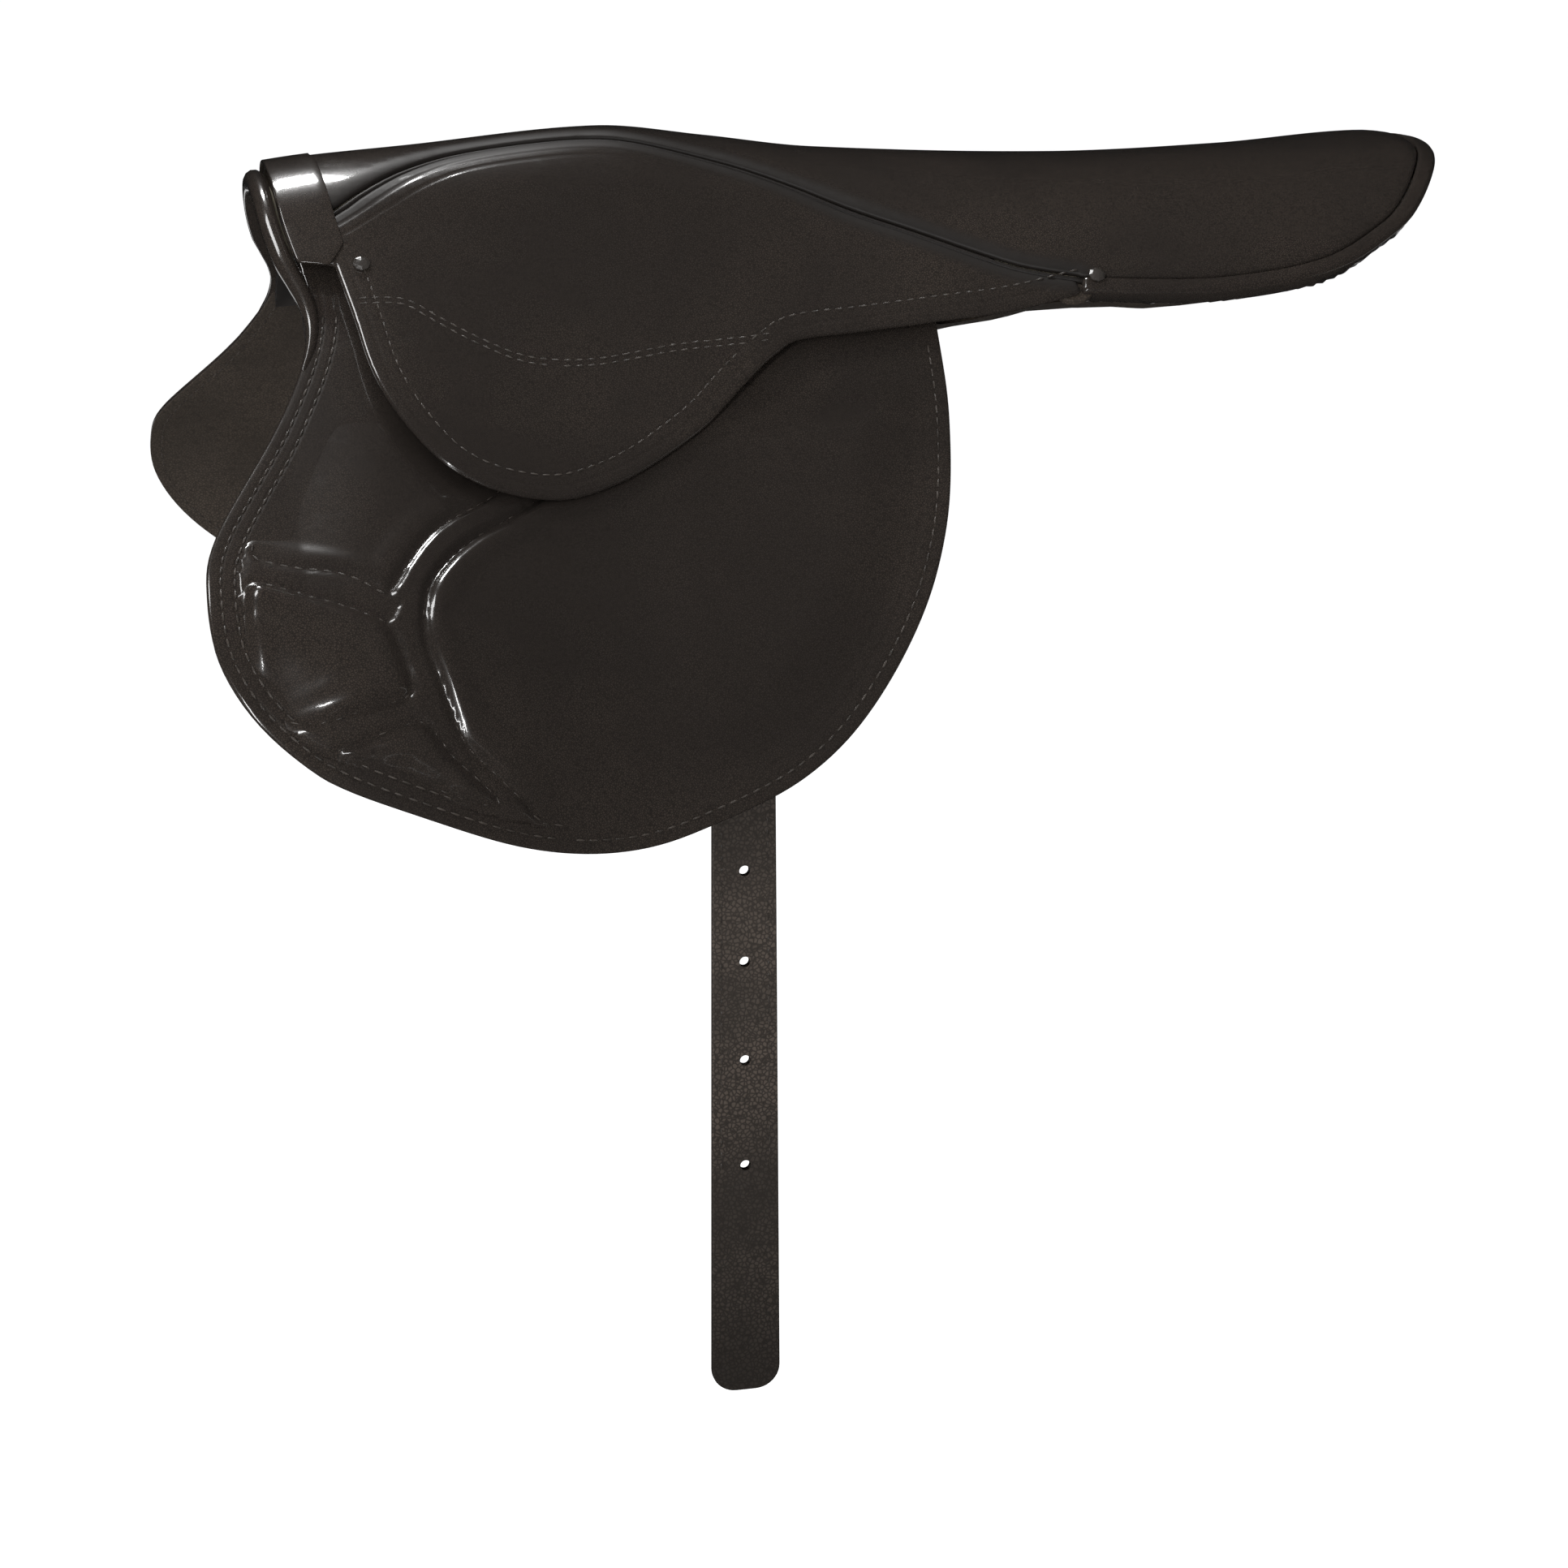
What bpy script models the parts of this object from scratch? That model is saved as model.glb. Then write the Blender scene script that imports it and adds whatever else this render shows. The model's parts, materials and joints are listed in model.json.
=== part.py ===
"""Racing saddle: a light flat-race saddle with its tree, seat, skirts, channelled flaps and girth straps.

The head points along -X, the near (left) side is -Y and +Z is up, in metres. The origin lies on the
centre plane, between the inner edges of the panels, where the saddle sits over the spine.

Every leather piece is cut as a flat pattern and then bent over one cross-section. A pattern point is
(x, s, h): x along the saddle, s down the leather from the centre line, h outwards from the outer face
of the flap. So layers that lie on each other share the bend and differ only in h.
"""
import math

import bmesh
import bpy
from mathutils import Matrix, Vector

MM = 0.001

# Top line of the seat, front to back: x and height, in millimetres
TOP_LINE = [(-220, 41), (-200, 43.6), (-165, 46.5), (-95, 52.3), (-55, 48.2),
            (-15, 43.3), (80, 39.4), (150, 41.2), (205, 45), (226, 42)]
# Cross-sections, front to back: x, length of the crown's arc, its slope in degrees, the flank's slope
SECTIONS = [(-250, 36, 44, 37), (-190, 36, 45, 40), (-100, 38, 54, 51), (20, 55, 39, 55),
            (120, 84, 36, 56), (230, 90, 42, 56)]
FLANK_RUN = 50 * MM      # leather over which the crown's slope eases into the flank's
HEM_START = 190 * MM     # where the flap starts to turn down towards the hem
HEM_TURN = 245 * MM
HEM_END = 340 * MM
HEM_SLOPE = 66           # degrees at HEM_TURN
END_SLOPE = 80           # degrees at HEM_END

# Thicknesses of the layers, and the gap that touching layers keep
SEAT_LEATHER = 2.5 * MM
FLAP_LEATHER = 2.5 * MM
TREE_PLATE = 4.2 * MM
LINING = 1.5 * MM
WEBBING = 2.2 * MM
BAND_LEATHER = 1.3 * MM
SKIRT_RISE = 5.5 * MM    # from the flap's outer face to the underside of the skirt
LAYER_GAP = 0.6 * MM     # between bent layers, so that their facets stay clear of each other
FELT_CLEAR = 0.9 * MM    # under the felt, which is cut in large flat facets
GAP = 0.3 * MM           # between straight pieces, and along the folds
SNAP = 0.2 * MM          # corners this close to a crease are moved onto it
CUT_PAST = 2 * MM        # punches and bores run past both faces by this

# Heights of the layers over the flap's outer face, worked out from the thicknesses
SKIN_TOP = SKIRT_RISE + SEAT_LEATHER
SKIN_LOW = SKIRT_RISE
FLAP_LOW = -FLAP_LEATHER
PLATE_TOP = FLAP_LOW - LAYER_GAP
PLATE_LOW = PLATE_TOP - TREE_PLATE
ARCH_TOP = PLATE_LOW - LAYER_GAP
ARCH_LOW = ARCH_TOP - TREE_PLATE
LINING_TOP = ARCH_LOW - LAYER_GAP
LINING_LOW = LINING_TOP - LINING
PAD_BASE = LAYER_GAP

# Pads: height of the stitched-down edge, then two steps, each inset and raised, up to the crown
PAD_EDGE = 1.8 * MM
PAD_SHOULDER_IN = 1.6 * MM
PAD_SHOULDER_RISE = 1.43 * MM
PAD_CROWN_IN = 3.4 * MM
PAD_CROWN_RISE = 1.17 * MM
SMALL_PAD_SHARE = 0.55   # of those insets, on the narrow lower pad

# Front roll and pommel band
ROLL_RADIUS = 3.8 * MM
ROLL_HEIGHT = 2.0 * MM   # of the roll's centre line over the flap's outer face
ROLL_FRONT = -218.5 * MM
ROLL_SWEEP = 6.0 * MM    # how far the roll falls back over ROLL_SPAN
ROLL_SPAN = 58 * MM
ROLL_END = 64 * MM
FRONT_CLEAR = 0.4 * MM

# Fold lines of the flaps and skirt lobes: one straight line on each side, rising to the rear. It lies
# just outside the skirt, so that nothing above the line is in the way of what lifts below it.
FOLD_X = -100 * MM
FOLD_Z = -19.9 * MM
FOLD_RISE = 4.1          # degrees
FOLD_HALF = 92.2 * MM    # the lines' distance from the centre plane at FOLD_X

# Seams, edges and nails
WELT_WIDTH = 2.4 * MM
WELT_RISE = 0.7 * MM     # the piping stands this much over the seat leather
WELT_FRONT = -190.5 * MM # where the piping comes out from under the pommel band
BINDING_WIDTH = 6.5 * MM
BINDING_RISE = 0.2 * MM  # the binding's crown stands this much over the seat leather
BINDING_ROUND = 0.8 * MM
BINDING_INSET = 1.4 * MM
BAND_ROUND = 0.4 * MM
BAND_INSET = 1.0 * MM
NAIL_RADIUS = 3.0 * MM
NAIL_RISE = 1.4 * MM
NAIL_CLEAR = 0.5 * MM    # under the flat foot of a nail, on bent leather
NAILS = {"front": (-188 * MM, 62 * MM), "rear": (68 * MM, 89 * MM)}
RIVET_RADIUS = 2.4 * MM
RIVET_CLEAR = 0.3 * MM
RIVET_SINK = 0.6 * MM    # countersunk depth of the tree rivets' ends

# Tree
BAR_TOP_S = 42 * MM
BAR_LOW_S = 74 * MM
BAR_FRONT = -204 * MM
BAR_REAR = 150 * MM
HEAD_REAR = -172 * MM
HEAD_FRONT = -208 * MM
HEAD_S = 80 * MM
GULLET_REAR = -120 * MM
CANTLE_FRONT = 112 * MM
CANTLE_S = 84 * MM
RIVET_S = 58 * MM
LUG_LOW_S = 92 * MM
LUG_WIDTH = 16 * MM
RAIL_FRONT = -166 * MM
RAIL_REAR = -89 * MM
RAIL_S = 86.5 * MM
RAIL_WIDTH = 9 * MM
RAIL_THICK = 3.5 * MM
RAIL_SEAT = 0.65 * MM    # the straight rail clears the bent lugs by this at its middle
SLOT_TOP_S = 71 * MM     # upper edge of the slot that a stirrup leather passes through
PIN_RADIUS = 1.8 * MM
NOTCH_GAP = 1.0 * MM     # between a stirrup rail's ends and the notch in the flap
SEAT_WEB_GAP = 6 * MM    # between the seat's webbing and the tree bars

# Foam and felt under the seat cover and the skirts
FLAP_TOP_S = 46 * MM
FOAM_HALF = 40 * MM      # half-width of the foam's nose, clear of the flaps' upper edges
FOAM_STEP_X = 38 * MM    # where the foam widens behind the flaps
FOAM_STEP_S = 84 * MM
FELT_FRONT = -188 * MM
FELT_LOW_S = 90 * MM
FELT_TOP_GAP = 1.5 * MM  # between foam and felt
FELT_REAR_GAP = 4 * MM
FELT_RAIL_GAP = 7 * MM   # behind the stirrup rail
FELT_SLOT_GAP = 1 * MM   # over the slot

# Linings
GULLET_GAP = 4 * MM      # between the gullet's lining and the panels
TAIL_LINING_FRONT = 64 * MM
TAIL_LINING_GAP = 3 * MM

# Panels: inner edge, then a wall and two steps, each inset and raised, down to the bearing face
PANEL_FRONT = -198 * MM
PANEL_REAR = 158 * MM
PANEL_IN_S = 54 * MM
PANEL_WALL = 6.8 * MM
PANEL_SHOULDER_IN = 4 * MM
PANEL_SHOULDER_RISE = 6.8 * MM
PANEL_CROWN_IN = 8 * MM
PANEL_CROWN_RISE = 3.4 * MM
PANEL_STEP = 18 * MM

# Girth straps and the webs that carry them
STRAP_X = -58 * MM
STRAP_HALF_GAP = 72.4 * MM      # from the centre plane to a strap's inner face
STRAP_THICK = 3.0 * MM
STRAP_TOP_Z = -38 * MM
STRAP_END_Z = -417.5 * MM
STRAP_TOP_WIDTH = 22.0 * MM
STRAP_END_WIDTH = 26.6 * MM
STRAP_CORNER = 9 * MM
FOLD_1_Z = -184 * MM
FOLD_2_Z = -304.5 * MM
HOLE_Z = (-210.3 * MM, -245.3 * MM, -283.8 * MM, -325.5 * MM)
HOLE_RADIUS = 2.0 * MM
LAP_GAP = 0.6 * MM
WEB_WIDTH = 24 * MM
WEB_TOP_S = 44 * MM
WEB_LEAVE_S = 90 * MM         # where the web leaves the tree bar's line and turns down
TAB_END_Z = -58 * MM
GIRTH_PIN_Z = -48 * MM
GIRTH_PIN_RADIUS = 2.0 * MM
GIRTH_PIN_HEAD = 4.0 * MM
GIRTH_PIN_RISE = 1.2 * MM
HEAD_TAPER = 0.7              # radius of a rivet head's top, as a share of its foot's

# Pattern lines that the leather is creased along when it is bent
CROWN_STEP = 12 * MM
CROWN_END = 48 * MM
FLANK_STEP = 20 * MM
LENGTH_STEP = 24 * MM
EDGE_STEP = 16 * MM


def clear_scene():
    """Start from an empty file."""
    for item in list(bpy.data.objects):
        bpy.data.objects.remove(item, do_unlink=True)


def material(name, color, roughness, metallic=0.0):
    """A plain Principled material."""
    mat = bpy.data.materials.new(name)
    mat.use_nodes = True
    shader = mat.node_tree.nodes["Principled BSDF"]
    shader.inputs["Base Color"].default_value = (*color, 1.0)
    shader.inputs["Roughness"].default_value = roughness
    shader.inputs["Metallic"].default_value = metallic
    return mat


def through(points, column, x):
    """Value of one column of a list of points at x, on a smooth curve through them."""
    last = len(points) - 1
    if x <= points[0][0]:
        return points[0][column]
    if x >= points[last][0]:
        return points[last][column]
    i = max(k for k in range(last) if points[k][0] <= x)
    x0, x1 = points[i][0], points[i + 1][0]
    v0, v1 = points[i][column], points[i + 1][column]
    before, after = points[max(i - 1, 0)], points[min(i + 2, last)]
    slope0 = (v1 - before[column]) / (x1 - before[0])
    slope1 = (after[column] - v0) / (after[0] - x0)
    t = (x - x0) / (x1 - x0)
    span = x1 - x0
    return ((2 * t**3 - 3 * t**2 + 1) * v0 + (t**3 - 2 * t**2 + t) * span * slope0
            + (3 * t**2 - 2 * t**3) * v1 + (t**3 - t**2) * span * slope1)


def bend(x, s, h):
    """World point of a pattern point. Positive s goes down the near side, which is -Y."""
    x_mm = x / MM
    crown_end = through(SECTIONS, 1, x_mm) * MM
    crown = through(SECTIONS, 2, x_mm)
    flank = through(SECTIONS, 3, x_mm)
    stops = (0.0, crown_end, crown_end + FLANK_RUN, HEM_START, HEM_TURN, HEM_END)
    slopes = (0.0, crown, flank, flank, HEM_SLOPE, END_SLOPE)
    reach = abs(s)
    y = 0.0
    z = through(TOP_LINE, 1, x_mm) * MM - SKIN_TOP
    slope = 0.0
    for start, stop, low, high in zip(stops, stops[1:], slopes, slopes[1:]):
        if reach <= start:
            break
        run = min(reach, stop) - start
        first = math.radians(low)
        slope = math.radians(low + (high - low) * run / (stop - start))
        if abs(slope - first) < 1e-6:
            y += run * math.cos(first)
            z -= run * math.sin(first)
        else:
            radius = run / (slope - first)
            y += radius * (math.sin(slope) - math.sin(first))
            z -= radius * (math.cos(first) - math.cos(slope))
    y += h * math.sin(slope)
    z += h * math.cos(slope)
    return Vector((x, -math.copysign(y, s) if s else -0.0, z))


def run_through(points, step=EDGE_STEP):
    """A smooth run through pattern points given in millimetres, as points in metres."""
    knots = [Vector(p) * MM for p in points]
    ends = [knots[0] * 2 - knots[1]] + knots + [knots[-1] * 2 - knots[-2]]
    out = [knots[0]]
    for a, b, c, d in zip(ends, ends[1:], ends[2:], ends[3:]):
        count = max(1, round((c - b).length / step))
        for k in range(1, count + 1):
            t = k / count
            out.append(0.5 * (2 * b + (c - a) * t + (2 * a - 5 * b + 4 * c - d) * t**2
                              + (3 * b - a - 3 * c + d) * t**3))
    return [(p.x, p.y) for p in out]


def offset_run(run, distance):
    """The run moved sideways, to the left of its own direction."""
    out = []
    for k, (x, s) in enumerate(run):
        before = run[max(k - 1, 0)]
        after = run[min(k + 1, len(run) - 1)]
        along = Vector((after[0] - before[0], after[1] - before[1])).normalized()
        out.append((x - along.y * distance, s + along.x * distance))
    return out


def mirrored(run):
    """The run on the other side of the centre line, in reverse order."""
    return [(x, -s) for x, s in reversed(run)]


def crease_lines(step, low, high):
    """Evenly spaced pattern lines between two limits."""
    first = math.ceil(low / step)
    last = math.floor(high / step)
    return [k * step for k in range(first, last + 1)]


def cut_piece(outline, low, high, crown=()):
    """A flat solid piece of the outline's shape. Each crown step insets the top and raises it."""
    bm = bmesh.new()
    base = bm.faces.new([bm.verts.new((x, -s, low)) for x, s in outline])
    base.normal_update()
    if base.normal.z > 0:
        base.normal_flip()
    raised = bmesh.ops.extrude_face_region(bm, geom=[base])["geom"]
    top_verts = [v for v in raised if isinstance(v, bmesh.types.BMVert)]
    top = next(f for f in raised if isinstance(f, bmesh.types.BMFace))
    bmesh.ops.translate(bm, vec=(0, 0, high - low), verts=top_verts)
    bmesh.ops.recalc_face_normals(bm, faces=bm.faces)
    for inset, rise in crown:
        bmesh.ops.inset_region(bm, faces=[top], thickness=inset, depth=rise, use_even_offset=True)
    return bm


def bend_piece(bm):
    """Crease a flat piece along the pattern lines and bend it over the cross-section."""
    xs = [v.co.x for v in bm.verts]
    ys = [v.co.y for v in bm.verts]
    reach = max(abs(min(ys)), abs(max(ys)))
    down = crease_lines(CROWN_STEP, 0, CROWN_END)
    down += [CROWN_END + k for k in crease_lines(FLANK_STEP, FLANK_STEP, max(reach - CROWN_END, 0))]
    planes = [((x, 0, 0), (1, 0, 0)) for x in crease_lines(LENGTH_STEP, min(xs), max(xs))]
    planes += [((0, s, 0), (0, 1, 0)) for s in down]
    planes += [((0, -s, 0), (0, 1, 0)) for s in down[1:]]
    for point, normal in planes:
        bmesh.ops.bisect_plane(bm, geom=bm.verts[:] + bm.edges[:] + bm.faces[:], dist=SNAP,
                               plane_co=point, plane_no=normal)
    for vert in bm.verts:
        vert.co = bend(vert.co.x, -vert.co.y, vert.co.z)
    bmesh.ops.triangulate(bm, faces=bm.faces)
    return bm


def fold_normal():
    """Direction square to the fold lines, upwards."""
    tilt = math.radians(FOLD_RISE)
    return Vector((-math.sin(tilt), 0, math.cos(tilt)))


def fold_point(side):
    """A point on the fold line of the near (-1) or off (+1) side."""
    return Vector((FOLD_X, side * FOLD_HALF, FOLD_Z))


def part_at_fold(bm, keep_above):
    """Keep what lies above or below the plane through both fold lines, half a gap away from it."""
    normal = fold_normal() if keep_above else -fold_normal()
    cut = bmesh.ops.bisect_plane(bm, geom=bm.verts[:] + bm.edges[:] + bm.faces[:], dist=0.01 * MM,
                                 plane_co=fold_point(0) + normal * GAP / 2, plane_no=normal,
                                 clear_inner=True)["geom_cut"]
    edges = [e for e in cut if isinstance(e, bmesh.types.BMEdge) and e.is_boundary]
    filled = bmesh.ops.holes_fill(bm, edges=edges, sides=0)["faces"]
    bmesh.ops.triangulate(bm, faces=filled)
    return bm


def make_object(bm, name, mat, pivot=None):
    """Turn a mesh into a named object, with its origin on its pivot."""
    bmesh.ops.recalc_face_normals(bm, faces=bm.faces)
    place = Vector(pivot) if pivot is not None else Vector((0, 0, 0))
    bmesh.ops.translate(bm, vec=-place, verts=bm.verts)
    mesh = bpy.data.meshes.new(name)
    bm.to_mesh(mesh)
    bm.free()
    mesh.shade_smooth()
    mesh.set_sharp_from_angle(angle=math.radians(35))
    mesh.materials.append(mat)
    item = bpy.data.objects.new(name, mesh)
    item.location = place
    bpy.context.collection.objects.link(item)
    return item


def make_pair(bm, name, mat, hinged=False):
    """The near piece, and its mirror image on the off side."""
    other = bm.copy()
    bmesh.ops.scale(other, vec=(1, -1, 1), verts=other.verts)
    bmesh.ops.reverse_faces(other, faces=other.faces)
    near = make_object(bm, "near_" + name, mat, fold_point(-1) if hinged else None)
    off = make_object(other, "off_" + name, mat, fold_point(1) if hinged else None)
    return near, off


def cut_out(item, cutter):
    """Take a cutter's shape out of an object."""
    cutter.hide_render = True
    cutter.display_type = "WIRE"
    cut = item.modifiers.new("cut_" + cutter.name, "BOOLEAN")
    cut.operation = "DIFFERENCE"
    cut.solver = "EXACT"
    cut.object = cutter


def pegs(name, foot, axis, steps, mat, segments=8):
    """A turned piece: its steps are (distance along the axis, radius) from the foot outwards."""
    bm = bmesh.new()
    profile = [bm.verts.new((radius, 0, along)) for along, radius in steps]
    ends = [bm.verts.new((0, 0, steps[-1][0])), bm.verts.new((0, 0, steps[0][0]))]
    loop = profile + ends[:1]
    edges = [bm.edges.new(pair) for pair in zip(loop, loop[1:])]
    edges.append(bm.edges.new((ends[1], profile[0])))
    bmesh.ops.spin(bm, geom=bm.verts[:] + edges, cent=(0, 0, 0), axis=(0, 0, 1),
                   angle=math.tau, steps=segments, use_merge=True)
    bmesh.ops.remove_doubles(bm, verts=bm.verts, dist=0.01 * MM)
    bmesh.ops.recalc_face_normals(bm, faces=bm.faces)
    turn = Vector((0, 0, 1)).rotation_difference(axis).to_matrix().to_4x4()
    bmesh.ops.transform(bm, matrix=Matrix.Translation(foot) @ turn, verts=bm.verts)
    return make_object(bm, name, mat)


def side_of(point, side):
    """A near-side point, or its mirror image on the off side."""
    return Vector((point[0], -side * point[1], point[2]))


def front_edge(s):
    """x of the roll's centre line at s."""
    return ROLL_FRONT + ROLL_SWEEP * (abs(s) / ROLL_SPAN)**2


def behind_roll(s):
    """x of the leather's front edge, just behind the roll."""
    return front_edge(s) + ROLL_RADIUS + FRONT_CLEAR


# Seam between seat and skirt, as s over x in millimetres
SEAM_LINE = [(-214, 45), (-197, 38), (-183, 29), (-167, 20), (-149, 14), (-123, 12), (-98, 13),
             (-74, 19), (-52, 26), (-30, 36), (-12, 47), (7, 58), (28, 71), (43, 80), (66, 89.5)]
# Rear of the seam, where the skirt ends at a nail
SKIRT_REAR = 61.6 * MM
# s of the skirt's front top corner, behind the roll
SKIRT_NOSE_S = 57 * MM
# Tail's edge from the nail round to the centre line
TAIL_EDGE = [(62, 94), (85, 99.5), (109, 103.5), (135, 103), (157, 98), (176, 88), (192, 75.5),
             (208, 53), (220, 27), (224, 0)]
# Lower edge of the skirt, front to back
SKIRT_EDGE = [(-197, 60), (-193, 84), (-190, 106), (-185, 123), (-176, 140), (-166, 151), (-151, 158),
              (-131, 160), (-113, 155), (-95, 146), (-76, 132), (-60, 115), (-47, 103), (-34, 97),
              (8, 96), (37, 96), (SKIRT_REAR / MM, 94)]
# Edge of the flap, from its front top corner round the hem to its rear top corner
FLAP_EDGE = [(-209, FLAP_TOP_S / MM), (-206.5, 72), (-211, 95), (-224, 126), (-247, 172), (-252, 198), (-249, 225),
             (-233, 249), (-203, 269), (-158, 281), (-112, 280), (-72, 266), (-40, 244), (-12, 207),
             (4, 170), (11, 130), (12, 93), (12, FLAP_TOP_S / MM)]
# s that the flap's fixed upper part is cut to before it is parted at the fold
FLAP_STOP_S = 128 * MM
# Half of the pommel band, from the centre line round its slanted end and back
BAND_EDGE = [(-212, 0), (-210, 26), (-207, 50), (-203, 60), (-199, 61), (-193, 52), (-196, 30),
             (-199, 0)]
# Edge of a panel, from its front end along the gullet and back outside
PANEL_EDGE = [(PANEL_FRONT / MM, 62), (-190, 55), (-150, PANEL_IN_S / MM), (80, PANEL_IN_S / MM),
              (140, 56), (PANEL_REAR / MM, 65), (148, 76), (110, 80), (40, 84), (14, 92), (-6, 104),
              (-100, 108),
              (-170, 102), (-194, 90), (PANEL_FRONT / MM, 62)]
# Edges of the pads on each flap, clear of the sewn-down channels between them
PAD_EDGES = {
    "front_pad": [(-212, 128), (-224, 149), (-234, 171), (-235.5, 181), (-229, 184.5), (-214, 188),
                  (-204, 192.5), (-195.5, 198.5), (-191.5, 196), (-185.5, 186), (-178, 175.5),
                  (-169, 167), (-160, 160.5), (-172, 150), (-184, 134), (-193, 122)],
    "knee_block": [(-238, 193), (-241, 204), (-241, 218), (-237.5, 229), (-231, 240.5),
                   (-221, 242), (-207, 239.5), (-191, 234.5), (-191.5, 224), (-195.5, 211),
                   (-203, 206), (-215, 200), (-227, 195)],
    "lower_pad": [(-216, 252.5), (-208, 249.5), (-199, 246.5), (-189, 243.5), (-184, 246),
                  (-178, 254), (-170.5, 260.5), (-164, 267), (-170, 268.5), (-182, 265.5), (-202, 259)],
    "rear_pad": [(-183.5, 208), (-180.5, 196), (-173, 184.5), (-163, 174.5), (-153, 167.5), (-140, 162.5),
                 (-120, 160), (-98, 152), (-76, 139), (-58, 121), (-30, 112), (3, 113), (2, 140),
                 (-4, 170), (-19, 203), (-44, 236), (-74, 257), (-112, 271), (-146, 273),
                 (-156, 265.5), (-165, 257.5), (-173, 250), (-177.5, 240), (-181, 228), (-183.5, 218)],
}


def seam_s(x):
    """s of the seam between seat and skirt at x."""
    return through(SEAM_LINE, 1, x / MM) * MM


def seam_front():
    """x where the seam starts, just behind the roll."""
    return behind_roll(SEAM_LINE[0][1] * MM)


def seam_run(shift):
    """The seam moved down the leather by shift, from its front end to its rear nail."""
    front = seam_front()
    count = round((SKIRT_REAR - front) / EDGE_STEP)
    xs = [front + (SKIRT_REAR - front) * k / count for k in range(count + 1)]
    return offset_run([(x, seam_s(x)) for x in xs], shift)


def tail_run():
    """The tail's whole edge, from the near nail round to the off one."""
    half = TAIL_EDGE[:-1]
    return run_through(half + TAIL_EDGE[-1:] + [(x, -s) for x, s in reversed(half)])


def tail_inset(distance):
    """The tail's edge moved in by a distance."""
    return offset_run(tail_run(), -distance)


def make_tree(mats):
    """Head and cantle arches, side bars, stirrup rails and the rivets that join them."""
    head = bend_piece(cut_piece([(HEAD_FRONT, -HEAD_S), (HEAD_REAR, -HEAD_S), (HEAD_REAR, HEAD_S),
                                 (HEAD_FRONT, HEAD_S)], ARCH_LOW, ARCH_TOP))
    head = make_object(head, "tree_head", mats["tree"])
    cantle = bend_piece(cut_piece([(CANTLE_FRONT, -CANTLE_S), (BAR_REAR, -CANTLE_S),
                                   (BAR_REAR, CANTLE_S), (CANTLE_FRONT, CANTLE_S)],
                                  ARCH_LOW, ARCH_TOP))
    cantle = make_object(cantle, "tree_cantle", mats["tree"])
    lug = LUG_WIDTH
    outline = [(BAR_FRONT, BAR_TOP_S), (BAR_REAR, BAR_TOP_S), (BAR_REAR, BAR_LOW_S),
               (RAIL_REAR, BAR_LOW_S), (RAIL_REAR, LUG_LOW_S), (RAIL_REAR - lug, LUG_LOW_S),
               (RAIL_REAR - lug, SLOT_TOP_S), (RAIL_FRONT + lug, SLOT_TOP_S),
               (RAIL_FRONT + lug, LUG_LOW_S), (RAIL_FRONT, LUG_LOW_S), (RAIL_FRONT, BAR_LOW_S),
               (BAR_FRONT, BAR_LOW_S)]
    bars = make_pair(bend_piece(cut_piece(outline, PLATE_LOW, PLATE_TOP)), "tree_bar", mats["tree"])
    web_half = BAR_TOP_S - SEAT_WEB_GAP
    web = cut_piece([(BAR_FRONT, -web_half), (BAR_REAR, -web_half), (BAR_REAR, web_half),
                     (BAR_FRONT, web_half)], PLATE_LOW, PLATE_TOP)
    make_object(bend_piece(web), "seat_web", mats["web"])
    for place, arch, x in (("head", head, (BAR_FRONT + HEAD_REAR) / 2),
                           ("cantle", cantle, (CANTLE_FRONT + BAR_REAR) / 2)):
        foot = bend(x, RIVET_S, ARCH_LOW + RIVET_SINK)
        axis = (bend(x, RIVET_S, PLATE_TOP) - foot).normalized()
        length = PLATE_TOP - ARCH_LOW - 2 * RIVET_SINK
        for side, label, bar in ((-1, "near", bars[0]), (1, "off", bars[1])):
            at, along = side_of(foot, side), side_of(axis, side)
            pegs(label + "_" + place + "_rivet", at, along,
                 [(0, RIVET_RADIUS), (length, RIVET_RADIUS)], mats["steel"])
            over = RIVET_RADIUS + RIVET_CLEAR
            cutter = pegs(label + "_" + place + "_bore", at, along,
                          [(-CUT_PAST, over), (length + CUT_PAST, over)], mats["steel"])
            cut_out(arch, cutter)
            cut_out(bar, cutter)
    make_rails(mats, bars)


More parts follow.
